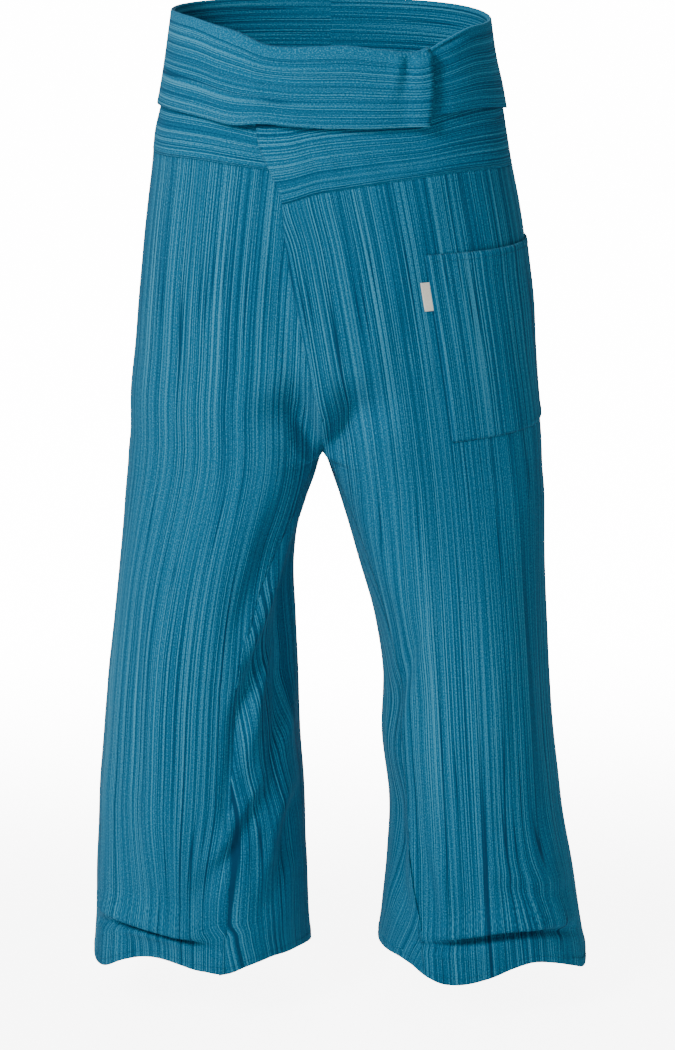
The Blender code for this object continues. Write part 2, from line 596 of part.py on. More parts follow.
def tie_points():
    """The tie: once round the waist between hip and cuff, its flat ends crossed at the front."""
    rows = []
    for height in (TIE_LOW, (TIE_LOW + TIE_TOP) / 2, TIE_TOP):
        free = ring_angle(float(read(WRAP, "free", height)), height)
        hidden = ring_angle(float(read(WRAP, "hidden", height)), height)
        first, last = ring_angle(-TIE_ENDS, height), ring_angle(TIE_ENDS, height)
        stretches = (
            (first, hidden, TIE_STEPS), (hidden, 0, SIDE_STEPS), (0, 90, BACK_STEPS),
            (90, 180, BACK_STEPS), (180, free + 360, SIDE_STEPS), (free + 360, last + 360, TIE_STEPS + 2),
        )
        angles = [first]
        for start, stop, steps in stretches:
            angles.extend(ring_stops(start, stop, steps, height)[1:])
        row = []
        for angle in angles:
            x, y = ring_xy(angle, height)
            layer = 1 + (TIE_LAYER - 1) * wrap_share(x, y, height)
            if angle > 180:
                layer += float(ease((x - TIE_CROSS) / TIE_CROSS_RUN))
            row.append(ring_place(angle, height, layer * LAYER))
        rows.append(row)
    return np.array(rows)


def column_at(grid, values, column, height):
    """Values along one of a leg's columns, read at a height."""
    heights = grid[::-1, column, 2]
    return np.array([np.interp(height, heights, values[::-1, column, axis]) for axis in range(3)])


def label_points(points, normals):
    """The label, on the leg's own cloth beside the pocket's front edge."""
    column = POCKET_COLUMNS[0]
    rows = []
    for height in np.linspace(LABEL_LOW, LABEL_TOP, LABEL_ROWS):
        edge = column_at(points, points, column, height)
        beside = column_at(points, points, column - 1, height)
        out = column_at(points, normals, column, height)
        across = (beside - edge) / np.linalg.norm(beside - edge)
        rows.append([edge + across * width + out * LAYER for width in (LABEL_WIDTH, SEAM_GAP)])
    return np.array(rows)


def pocket_points(points, normals):
    """The pocket: the leg's own points under it, moved out by one layer."""
    rows = slice(POCKET_ROWS[0], POCKET_ROWS[1] + 1)
    columns = slice(POCKET_COLUMNS[0], POCKET_COLUMNS[1] + 1)
    return points[rows, columns] + normals[rows, columns] * LAYER


def dressed(name, colour, roughness):
    """Principled material of one piece."""
    material = bpy.data.materials.new(name)
    material.use_nodes = True
    shader = material.node_tree.nodes["Principled BSDF"]
    shader.inputs["Base Color"].default_value = colour
    shader.inputs["Roughness"].default_value = roughness
    return material


def main():
    """Clear the scene and build every piece."""
    for item in list(bpy.data.objects):
        bpy.data.objects.remove(item, do_unlink=True)
    pants = bpy.data.collections.new("Thai fisherman pants")
    bpy.context.scene.collection.children.link(pants)

    right, _ = leg_points(RIGHT)
    cloth("right_leg", right, pants, dressed("Right leg cloth", CLOTH_COLOUR, 0.85))
    left, left_out = leg_points(LEFT)
    pleat = pleat_rows(left)
    blank = np.zeros((len(left) - len(pleat), pleat.shape[1], 3))
    whole = np.concatenate([np.concatenate([pleat, blank]), left], axis=1)
    drop = np.zeros(whole.shape[:2], dtype=bool)
    drop[len(pleat):, :pleat.shape[1]] = True
    cloth("left_leg", whole, pants, dressed("Left leg cloth", CLOTH_COLOUR, 0.85), drop=drop)
    band = dressed("Waistband cloth", CLOTH_COLOUR, 0.85)
    cloth("waistband", band_points(), pants, band, ring=True)
    cloth("tie", tie_points(), pants, dressed("Tie cloth", CLOTH_COLOUR, 0.85))
    cloth("pocket", pocket_points(left, left_out), pants, dressed("Pocket cloth", CLOTH_COLOUR, 0.85))
    cloth("label", label_points(left, left_out), pants, dressed("Label ribbon", LABEL_COLOUR, 0.75))


if __name__ == "__main__":
    main()
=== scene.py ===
"""Looks of a pair of Thai fisherman pants: striped cotton, worn and hollow, with a folded waist.

Lengths are metres in the frame's own axes: Z up, the front towards -Y, the wearer's left towards +X.
Every panel is a thin shell of cloth laid through rows of points that follow the garment's sections.
"""
from __future__ import annotations

import logging
import math
from dataclasses import dataclass
from enum import Enum
from typing import NamedTuple, Sequence

import bpy
import numpy as np
from bpy.types import Material, Node, NodeSocket, NodeTree, Object
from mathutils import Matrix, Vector

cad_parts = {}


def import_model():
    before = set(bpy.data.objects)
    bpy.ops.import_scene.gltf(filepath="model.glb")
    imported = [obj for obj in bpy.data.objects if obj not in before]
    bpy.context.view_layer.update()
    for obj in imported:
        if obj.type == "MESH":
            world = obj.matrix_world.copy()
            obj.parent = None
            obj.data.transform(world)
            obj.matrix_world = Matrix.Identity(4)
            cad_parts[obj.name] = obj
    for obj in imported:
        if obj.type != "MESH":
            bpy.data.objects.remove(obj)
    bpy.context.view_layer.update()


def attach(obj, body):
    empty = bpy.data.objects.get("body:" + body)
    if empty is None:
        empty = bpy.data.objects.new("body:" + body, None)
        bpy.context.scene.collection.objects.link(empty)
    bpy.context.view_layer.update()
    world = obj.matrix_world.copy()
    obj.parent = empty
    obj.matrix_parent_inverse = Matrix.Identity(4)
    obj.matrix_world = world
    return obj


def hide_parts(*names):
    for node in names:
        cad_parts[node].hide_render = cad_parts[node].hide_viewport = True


LOG = logging.getLogger("pants")

Array = np.ndarray
Pair = tuple[Array, Array]

# The cloth: its wall, the distance between two layers, and how far its edges lap
CLOTH_WALL = 0.0006
LAYER = 0.0016
SEAM_LAP = 0.006
SEAM_OVERLAP = 0.0012
BAND_GAP = 0.0002

# The trunk: band seam, centre seam, the heights where the rise starts and ends, and how far corners round
SEAM_HEIGHT = -0.100
BAND_RUN = 0.085
CENTRE_SEAM = -0.0157
TRUNK_POWER = 2.25
TRUNK_REACH = 0.215
RISE_START = -0.300
CROTCH = -0.4134
CROTCH_REACH = 0.090
INNER_REACH_MORE = 0.020

# The wrap: where its pleat and its flap end, and how the layers settle past the hidden fold
PLEAT_END = -0.350
FLAP_END = -0.362
FLAP_SETTLED = -0.392
SETTLE_START = 0.015
SETTLE_RUN = 0.050

# Points measured along one stretch of a row, and the name of the cloth's map
DENSE = 320
UV_NAME = "cloth"


class Side(Enum):
    """The wearer's side that a leg panel is on, as the sign of X."""

    RIGHT = -1
    LEFT = 1


class Face(Enum):
    """Front or back of the garment, as the sign of Y."""

    FRONT = -1
    BACK = 1


class Section(NamedTuple):
    """One level section of the garment."""

    height: float
    right_outer: float
    right_inner: float
    left_inner: float
    left_outer: float
    front: float
    back: float
    reach: float


def trunk(height: float, right: float, left: float, front: float, back: float) -> Section:
    """Level section above the crotch, where the legs' inner sides are the centre seam."""
    return Section(height, right, CENTRE_SEAM, CENTRE_SEAM, left, front, back, TRUNK_REACH)


class Line(NamedTuple):
    """Where the inseams and the pocket's front edge stand at one height."""

    height: float
    right_inseam: float
    left_inseam: float
    pocket: float


class Wrap(NamedTuple):
    """Fold edges of the wrap at one height: the free one and the hidden one."""

    height: float
    free: float
    hidden: float


class Edge(NamedTuple):
    """Heights at one turn round the waist: fold base, band seams, cuff edges."""

    turn: float
    fold: float
    under: float
    over: float
    cuff: float
    cuff_left: float


class Hem(NamedTuple):
    """How far the hem lifts and stands out, by share of the way round a leg."""

    share: float
    lift: float
    push: float


class Crease(NamedTuple):
    """A soft trough or ridge along a line on one face.

    Its height is below 0 for a trough, its bow is how far its middle lies above the line, and its sag is
    how far a ridge hangs down over what lies beneath it.
    """

    face: Face
    x_top: float
    z_top: float
    x_low: float
    z_low: float
    half_width: float
    height: float
    bow: float = 0.0
    sag: float = 0.0


def creases_on(face: Face, *rows: tuple[float, ...]) -> tuple[Crease, ...]:
    """Creases of one face, from rows that hold the fields after the face."""
    return tuple(Crease(face, *row) for row in rows)


class Pile(NamedTuple):
    """Where cloth piled up above a hem carries the stripes along X, and how far."""

    x: float
    width: float
    shift: float


# Level sections of the garment, from the fold of the waist to the hems
SECTIONS = (
    trunk(0.062, -0.1698, 0.1555, 0.1125, 0.1080),
    trunk(0.041, -0.1730, 0.1582, 0.1135, 0.1090),
    trunk(0.010, -0.1776, 0.1630, 0.1155, 0.1120),
    trunk(-0.022, -0.1825, 0.1705, 0.1180, 0.1160),
    trunk(-0.038, -0.1855, 0.1735, 0.1190, 0.1180),
    trunk(-0.069, -0.1925, 0.1784, 0.1220, 0.1225),
    trunk(-0.101, -0.1957, 0.1841, 0.1245, 0.1280),
    trunk(-0.150, -0.2020, 0.1940, 0.1260, 0.1360),
    trunk(-0.200, -0.2080, 0.2016, 0.1260, 0.1420),
    trunk(-0.250, -0.2132, 0.2078, 0.1250, 0.1435),
    trunk(-0.300, -0.2175, 0.2108, 0.1230, 0.1420),
    trunk(-0.350, -0.2230, 0.2155, 0.1205, 0.1380),
    trunk(-0.400, -0.2245, 0.2207, 0.1190, 0.1335),
    Section(CROTCH, -0.2260, -0.0167, -0.0147, 0.2215, 0.1185, 0.1320, 0.2238),
    Section(-0.430, -0.2272, -0.0203, -0.0090, 0.2223, 0.1185, 0.1305, 0.213),
    Section(-0.463, -0.2305, -0.0315, 0.0022, 0.2251, 0.1185, 0.1280, 0.184),
    Section(-0.497, -0.2333, -0.0420, 0.0125, 0.2258, 0.1185, 0.1260, 0.150),
    Section(-0.531, -0.2370, -0.0462, 0.0218, 0.2264, 0.1185, 0.1245, 0.130),
    Section(-0.599, -0.2438, -0.0461, 0.0406, 0.2296, 0.1180, 0.1220, 0.110),
    Section(-0.668, -0.2506, -0.0441, 0.0507, 0.2340, 0.1165, 0.1200, 0.105),
    Section(-0.738, -0.2563, -0.0421, 0.0499, 0.2397, 0.1140, 0.1180, 0.105),
    Section(-0.809, -0.2632, -0.0367, 0.0568, 0.2476, 0.1110, 0.1160, 0.108),
    Section(-0.880, -0.2668, -0.0347, 0.0549, 0.2590, 0.1085, 0.1140, 0.110),
    Section(-0.953, -0.2704, -0.0326, 0.0484, 0.2716, 0.1060, 0.1110, 0.115),
    Section(-1.000, -0.2725, -0.0292, 0.0440, 0.2790, 0.1050, 0.1100, 0.118),
)

# Inseams and the pocket's front edge
LINES = (
    Line(-0.100, CENTRE_SEAM, CENTRE_SEAM, 0.0740),
    Line(-0.180, CENTRE_SEAM, CENTRE_SEAM, 0.0890),
    Line(-0.380, CENTRE_SEAM, CENTRE_SEAM, 0.1201),
    Line(CROTCH, -0.0167, -0.0147, 0.1240),
    Line(-0.430, -0.0290, -0.0040, 0.1260),
    Line(-0.463, -0.0440, 0.0110, 0.1290),
    Line(-0.550, -0.0800, 0.0420, 0.1360),
    Line(-0.630, -0.1010, 0.0620, 0.1410),
    Line(-0.717, -0.1090, 0.0690, 0.1460),
    Line(-0.847, -0.1160, 0.0784, 0.1540),
    Line(-1.000, -0.1250, 0.0960, 0.1640),
)

# Fold edges of the wrap
WRAP = (
    Wrap(0.062, -0.0790, 0.0870),
    Wrap(-0.047, -0.0768, 0.0880),
    Wrap(-0.100, -0.0560, 0.0740),
    Wrap(-0.135, -0.0541, 0.0630),
    Wrap(-0.161, -0.0529, 0.0550),
    Wrap(-0.218, -0.0449, 0.0380),
    Wrap(-0.262, -0.0367, 0.0220),
    Wrap(-0.307, -0.0275, 0.0060),
    Wrap(-0.350, -0.0188, -0.0100),
    Wrap(-0.362, -0.0142, -0.0110),
    Wrap(-0.380, -0.0142, -0.0120),
)

# Edges of the waistband round the waist, and the oval that turns are counted on
EDGES = (
    Edge(-180, 0.0562, -0.0892, -0.1268, -0.0387, -0.0382),
    Edge(-158, 0.0569, -0.0880, -0.1268, -0.0392, -0.0382),
    Edge(-143, 0.0543, -0.0866, -0.1268, -0.0412, -0.0382),
    Edge(-133, 0.0487, -0.0868, -0.1400, -0.0440, -0.0382),
    Edge(-122, 0.0400, -0.0896, -0.1370, -0.0470, -0.0382),
    Edge(-113, 0.0298, -0.0920, -0.1315, -0.0440, -0.0382),
    Edge(-105, 0.0277, -0.0934, -0.1268, -0.0462, -0.0382),
    Edge(-95, 0.0283, -0.0940, -0.1165, -0.0478, -0.0382),
    Edge(-85, 0.0290, -0.0945, -0.1112, -0.0482, -0.0382),
    Edge(-72, 0.0247, -0.0945, -0.1050, -0.0480, -0.0382),
    Edge(-59, 0.0223, -0.0945, -0.1008, -0.0474, -0.0382),
    Edge(-49, 0.0339, -0.0945, -0.0988, -0.0474, -0.0370),
    Edge(-36, 0.0444, -0.0945, -0.0990, -0.0474, -0.0358),
    Edge(-20, 0.0460, -0.0945, -0.1010, -0.0474, -0.0395),
    Edge(0, 0.0470, -0.0945, -0.1040, -0.0474, -0.0455),
    Edge(45, 0.0530, -0.0950, -0.1000, -0.0445, -0.0445),
    Edge(90, 0.0550, -0.0960, -0.0960, -0.0430, -0.0430),
    Edge(135, 0.0560, -0.0920, -0.0920, -0.0410, -0.0410),
    Edge(180, 0.0562, -0.0892, -0.0892, -0.0387, -0.0387),
)
TURN_WIDTH = 0.176
TURN_DEPTH = 0.124
TURN_CENTRE = -0.0065

# The hems: lowest height, where the lift starts, and the lift and push on the way round
HEM_HEIGHT = {Side.RIGHT: -0.9920, Side.LEFT: -0.9975}
HEM_RISE_START = -0.925
HEMS = {
    Side.RIGHT: (
        Hem(0.00, 0.008, 0.000), Hem(0.08, 0.017, -0.003), Hem(0.136, 0.018, -0.003),
        Hem(0.175, 0.014, 0.000), Hem(0.208, 0.008, 0.004), Hem(0.244, 0.010, 0.002),
        Hem(0.281, 0.015, -0.003), Hem(0.317, 0.021, -0.006), Hem(0.356, 0.019, -0.005),
        Hem(0.385, 0.012, 0.000), Hem(0.415, 0.000, 0.002), Hem(0.50, 0.002, 0.000),
        Hem(0.60, 0.005, 0.003), Hem(0.70, 0.000, -0.003), Hem(0.80, 0.004, 0.003),
        Hem(0.90, 0.006, -0.002), Hem(1.00, 0.008, 0.000),
    ),
    Side.LEFT: (
        Hem(0.00, 0.014, 0.000), Hem(0.064, 0.018, -0.002), Hem(0.10, 0.018, -0.003),
        Hem(0.128, 0.014, -0.001), Hem(0.155, 0.006, 0.002), Hem(0.189, 0.000, 0.004),
        Hem(0.225, 0.001, 0.003), Hem(0.258, 0.006, 0.000), Hem(0.294, 0.014, -0.003),
        Hem(0.333, 0.020, -0.004), Hem(0.378, 0.014, -0.002), Hem(0.411, 0.005, 0.000),
        Hem(0.442, -0.004, 0.002), Hem(0.49, 0.004, 0.000), Hem(0.56, 0.007, 0.000),
        Hem(0.65, 0.002, 0.003), Hem(0.75, 0.006, -0.003), Hem(0.85, 0.002, 0.003),
        Hem(0.93, 0.009, 0.000), Hem(1.00, 0.014, 0.000),
    ),
}

# The legs' creases
CREASES = {
    Side.RIGHT: creases_on(
        Face.FRONT,
        (-0.068, -0.150, -0.034, -0.395, 0.015, -0.0050),
        (-0.036, -0.455, -0.104, -0.654, 0.008, 0.0070),
        (-0.060, -0.450, -0.118, -0.620, 0.012, -0.0050),
        (-0.040, -0.490, -0.068, -0.720, 0.022, -0.0160),
        (-0.074, -0.570, -0.114, -0.735, 0.009, -0.0090),
        (-0.110, -0.700, -0.120, -0.830, 0.009, -0.0060),
        (-0.060, -0.620, -0.100, -0.728, 0.009, 0.0080),
        (-0.038, -0.630, -0.072, -0.755, 0.009, -0.0085),
        (-0.040, -0.700, -0.096, -0.800, 0.009, 0.0060),
        (-0.058, -0.730, -0.100, -0.815, 0.011, -0.0085),
        (-0.096, -0.806, -0.155, -0.905, 0.012, -0.0065),
        (-0.080, -0.752, -0.140, -0.870, 0.009, 0.0055),
        (-0.034, -0.781, -0.060, -0.870, 0.010, -0.0065),
        (-0.052, -0.780, -0.084, -0.880, 0.008, 0.0045),
        (-0.054, -0.860, -0.084, -0.925, 0.012, -0.0030),
        (-0.146, -0.643, -0.120, -0.660, 0.006, -0.0028),
        (-0.276, -0.952, -0.134, -0.961, 0.0060, -0.0110, 0.019),
        (-0.276, -0.931, -0.138, -0.940, 0.0110, 0.0085, 0.019, 0.0130),
        (-0.240, -0.950, -0.150, -0.972, 0.0100, 0.0035, 0.012),
        (-0.200, -0.890, -0.150, -0.925, 0.0060, -0.0030, 0.004),
        (-0.180, -0.500, -0.190, -0.860, 0.018, 0.0022),
        (-0.215, -0.560, -0.228, -0.880, 0.014, -0.0018),
    ) + creases_on(
        Face.BACK,
        (-0.050, -0.420, -0.180, -0.620, 0.018, 0.0055),
        (-0.060, -0.470, -0.150, -0.640, 0.012, -0.0045),
        (-0.100, -0.580, -0.060, -0.800, 0.013, -0.0055),
        (-0.130, -0.620, -0.110, -0.860, 0.014, 0.0045),
        (-0.190, -0.700, -0.160, -0.950, 0.015, 0.0055),
        (-0.220, -0.760, -0.200, -0.960, 0.012, -0.0040),
        (-0.070, -0.850, -0.110, -0.960, 0.012, -0.0050),
    ),
    Side.LEFT: creases_on(
        Face.FRONT,
        (0.086, -0.964, 0.270, -0.960, 0.0060, -0.0110, 0.019),
        (0.094, -0.942, 0.266, -0.939, 0.0110, 0.0085, 0.020, 0.0130),
        (0.165, -0.872, 0.262, -0.912, 0.0090, -0.0035, -0.006),
        (0.150, -0.850, 0.255, -0.890, 0.0110, 0.0030, -0.006),
        (0.100, -0.968, 0.180, -0.965, 0.0120, 0.0030, 0.004),
        (0.066, -0.770, 0.073, -0.942, 0.007, -0.0050),
        (0.080, -0.800, 0.087, -0.940, 0.006, 0.0040),
        (0.095, -0.825, 0.103, -0.936, 0.006, -0.0040),
        (0.111, -0.849, 0.120, -0.936, 0.007, 0.0030),
        (0.070, -0.850, 0.048, -0.940, 0.006, 0.0040),
        (0.086, -0.590, 0.054, -0.734, 0.009, -0.0055),
        (0.098, -0.570, 0.070, -0.720, 0.009, 0.0030),
        (0.081, -0.825, 0.055, -0.907, 0.007, -0.0035),
        (0.020, -0.430, 0.075, -0.600, 0.012, 0.0030),
        (0.150, -0.450, 0.170, -0.850, 0.018, 0.0020),
        (0.195, -0.430, 0.215, -0.860, 0.015, -0.0018),
    ) + creases_on(
        Face.BACK,
        (0.040, -0.420, 0.160, -0.640, 0.018, 0.0055),
        (0.050, -0.480, 0.120, -0.640, 0.012, -0.0045),
        (0.100, -0.600, 0.080, -0.820, 0.013, -0.0055),
        (0.140, -0.640, 0.130, -0.880, 0.014, 0.0045),
        (0.190, -0.680, 0.170, -0.950, 0.015, 0.0055),
        (0.225, -0.740, 0.220, -0.960, 0.012, -0.0040),
        (0.090, -0.850, 0.120, -0.960, 0.012, -0.0050),
    ),
}

# Creases of the hip part's outer layer, of the cuff's outer layer, and of the cuff past the wrap's end
BAND_CREASES = creases_on(
    Face.FRONT,
    (-0.048, -0.050, -0.034, -0.094, 0.0065, 0.0016),
    (-0.024, -0.054, 0.000, -0.106, 0.0070, 0.0018),
    (0.004, -0.058, 0.040, -0.104, 0.0080, 0.0016),
    (0.034, -0.056, 0.074, -0.096, 0.0085, 0.0012),
)
CUFF_CREASES = creases_on(
    Face.FRONT,
    (0.075, 0.046, 0.064, -0.004, 0.0034, -0.0048),
    (0.063, 0.042, 0.052, -0.012, 0.0055, 0.0026),
    (-0.084, 0.034, -0.078, -0.050, 0.0070, 0.0018),
    (-0.125, 0.044, -0.118, -0.040, 0.0080, 0.0014),
)
PAST_CREASES = creases_on(
    Face.FRONT,
    (0.088, 0.034, 0.132, 0.041, 0.0030, -0.0026),
    (0.088, 0.026, 0.140, 0.034, 0.0060, 0.0018),
    (0.094, 0.004, 0.150, -0.012, 0.0080, 0.0016),
)

# Piles above each hem
PILES = {
    Side.RIGHT: (Pile(-0.215, 0.035, -0.012), Pile(-0.135, 0.035, 0.016)),
    Side.LEFT: (Pile(0.235, 0.036, 0.022),),
}
# Where the piles start, over what height they grow, the share they lose low down, and where that starts
PILE_HEIGHTS = {Side.RIGHT: (-0.78, 0.14, 0.50, -0.925), Side.LEFT: (-0.80, 0.13, 0.55, -0.935)}


def read(table: Sequence[tuple], column: str, at: Array | float) -> Array:
    """Reads a table between its rows, on a smooth curve through them.

    Args:
        table: Rows whose first field is the key.
        column: Name of the field to read.
        at: One or more keys.

    Returns:
        The value at each key.
    """
    keys = np.array([row[0] for row in table], dtype=float)
    values = np.array([getattr(row, column) for row in table], dtype=float)
    if keys[0] > keys[-1]:
        keys, values = keys[::-1], values[::-1]
    slopes = np.gradient(values, keys)
    at = np.clip(np.asarray(at, dtype=float), keys[0], keys[-1])
    low = np.clip(np.searchsorted(keys, at) - 1, 0, len(keys) - 2)
    step = keys[low + 1] - keys[low]
    s = (at - keys[low]) / step
    return ((2 * s**3 - 3 * s**2 + 1) * values[low] + (s**3 - 2 * s**2 + s) * step * slopes[low]
            + (3 * s**2 - 2 * s**3) * values[low + 1] + (s**3 - s**2) * step * slopes[low + 1])


def ease(share: Array | float) -> Array:
    """Smooth step from 0 to 1."""
    share = np.clip(share, 0.0, 1.0)
    return share * share * (3 - 2 * share)


def quarter(share: Array | float) -> Array:
    """Quarter of a rounded section: 0 at its edge, 1 at its crest."""
    share = np.clip(share, 0.0, 1.0)
    return (1 - (1 - share) ** TRUNK_POWER) ** (1 / TRUNK_POWER)


def turn_at(x: Array, y: Array) -> Array:
    """Turn in degrees round the waist: 0 on the wearer's left, -90 at the front."""
    return np.degrees(np.arctan2(np.asarray(y) / TURN_DEPTH, (np.asarray(x) - TURN_CENTRE) / TURN_WIDTH))


def of_leg(side: Side, part: str, height: Array | float) -> Array:
    """X of one leg's outer side, inner side or inseam, whose fields start with the side's name."""
    return read(LINES if part == "inseam" else SECTIONS, f"{side.name.lower()}_{part}", height)


def span(height: Array | float) -> Pair:
    """X of the garment's right and left side."""
    return of_leg(Side.RIGHT, "outer", height), of_leg(Side.LEFT, "outer", height)


def near_band(height: float) -> float:
    """1 at the band seam, 0 where the rows of a leg are level."""
    return 1 - ease((SEAM_HEIGHT - height) / BAND_RUN)


def depth_at(x: Array, height: Array | float, face: Face, side: Side, hollowed: bool = True) -> Array:
    """Y of the cloth's base surface.

    Args:
        x: Places across the garment.
        height: One height, or one for each place.
        face: Front or back.
        side: Leg that the places belong to, which matters below the crotch.
        hollowed: Whether the cloth turns in towards the crotch and the leg's inner side.

    Returns:
        Y at each place.
    """
    x = np.asarray(x, dtype=float)
    right, left = span(height)
    depth = read(SECTIONS, "front" if face is Face.FRONT else "back", height)
    if np.min(height) >= CROTCH:
        centre = (right + left) / 2
        outer = np.where(x < centre, (x - right) / (centre - right), (left - x) / (left - centre))
        if not hollowed:
            return face.value * depth * quarter(outer)
        near_share, hard_start, hard_run = 0.45, 0.25, 0.6
        drop = np.clip((RISE_START - np.asarray(height)) / (RISE_START - CROTCH), 0.0, 1.0)
        off_seam = np.abs(x - CENTRE_SEAM) / CROTCH_REACH
        away = ease(off_seam / near_share)
        share = (1 - np.sqrt(1 - drop**2)) * (1 - away) + ease(drop) * away
        soft = (1 - np.cos(math.pi * np.clip(off_seam, 0.0, 1.0))) / 2
        hard = ease((share - hard_start) / hard_run)
        hollow = (1 - hard) * soft + hard * quarter(off_seam)
        return face.value * depth * quarter(outer) * (1 - share + share * hollow)
    edge = left if side is Side.LEFT else right
    rounded = face.value * depth * quarter(np.abs(x - edge) / read(SECTIONS, "reach", height))
    if not hollowed:
        return rounded
    inner_reach = CROTCH_REACH + INNER_REACH_MORE * ease((CROTCH - np.asarray(height)) / (2 * CROTCH_REACH))
    return rounded * quarter(np.abs(x - of_leg(side, "inner", height)) / inner_reach)


def unwrapped(x: Array, height: Array | float) -> Array:
    """0 on the wrap, 1 where the layers past its hidden fold have settled."""
    return ease((x - read(WRAP, "hidden", height) - SETTLE_START) / SETTLE_RUN)


def soft_noise(u: Array, v: Array, size: float, seed: int) -> Array:
    """Smooth seeded noise between -1 and 1.

    Args:
        u: First coordinate in metres.
        v: Second coordinate in metres.
        size: Size of one swell in metres.
        seed: Which pattern.

    Returns:
        A value for each place.
    """
    lattice = np.random.default_rng(seed).uniform(-1, 1, (64, 64))
    a, b = np.asarray(u) / size + 20.3, np.asarray(v) / size + 20.7
    i, j = np.floor(a).astype(int), np.floor(b).astype(int)
    s, t = ease(a - i), ease(b - j)
    corners = [lattice[(i + di) % 64, (j + dj) % 64] for di in (0, 1) for dj in (0, 1)]
    return (corners[0] * (1 - t) + corners[1] * t) * (1 - s) + (corners[2] * (1 - t) + corners[3] * t) * s


def crease_height(creases: Sequence[Crease], x: Array, y: Array, z: Array, field: str = "height") -> Array:
    """How far soft troughs and ridges move the cloth outwards, or down where they sag.

    Args:
        creases: The troughs and ridges.
        x: Places across the garment.
        y: Depths, which say on which face each place is.
        z: Heights.
        field: Field of a crease to add up: height or sag.

    Returns:
        Distance at each place.
    """
    total = np.zeros_like(x)
    runout, end_share = 0.02, 0.35
    face_start, face_run = 0.010, 0.045
    for index, crease in enumerate(creases):
        run_x, run_z = crease.x_low - crease.x_top, crease.z_low - crease.z_top
        length = math.hypot(run_x, run_z)
        along = ((x - crease.x_top) * run_x + (z - crease.z_top) * run_z) / length
        off = ((x - crease.x_top) * run_z - (z - crease.z_top) * run_x) / length
        share = np.clip(along / length, 0, 1)
        off = off + crease.bow * 4 * share * (1 - share)
        sway = 0.25 * crease.half_width * np.sin(along / length * 5.0 + index)
        width = crease.half_width * (0.8 + 0.4 * ease(along / length))
        fade = runout + end_share * length
        ends = ease((along + runout) / fade) * ease((length + runout - along) / fade)
        face = ease((crease.face.value * y - face_start) / face_run)
        total += getattr(crease, field) * np.exp(-(((off - sway) / width) ** 2)) * ends * face
    return total


def running_total(steps: Array) -> Array:
    """Sum of the steps so far, starting at 0."""
    return np.concatenate([[0.0], np.cumsum(steps)])


def running_length(points: Array) -> Array:
    """Length along a row of points, starting at 0."""
    return running_total(np.linalg.norm(np.diff(points, axis=0), axis=1))


def unit(vectors: Array) -> Array:
    """Vectors of the same directions with a length of 1."""
    return vectors / np.maximum(np.linalg.norm(vectors, axis=-1, keepdims=True), 1e-12)


def normals_of(points: Array) -> Array:
    """Unit normals of a grid of points, by rows and columns."""
    return unit(np.cross(np.gradient(points, axis=1), np.gradient(points, axis=0)))


def new_grid(name: str, x_steps: int, y_steps: int) -> Object:
    """A flat grid, 1 m wide and long and shaded smooth, to be shaped.

    Args:
        name: Its name.
        x_steps: Its faces along X.
        y_steps: Its faces along Y.

    Returns:
        The grid.
    """
    bpy.ops.object.select_all(action="DESELECT")
    bpy.ops.mesh.primitive_grid_add(x_subdivisions=x_steps, y_subdivisions=y_steps, size=1.0)
    grid = bpy.context.active_object
    grid.name = grid.data.name = name
    grid.data.polygons.foreach_set("use_smooth", np.ones(len(grid.data.polygons), dtype=bool))
    return grid


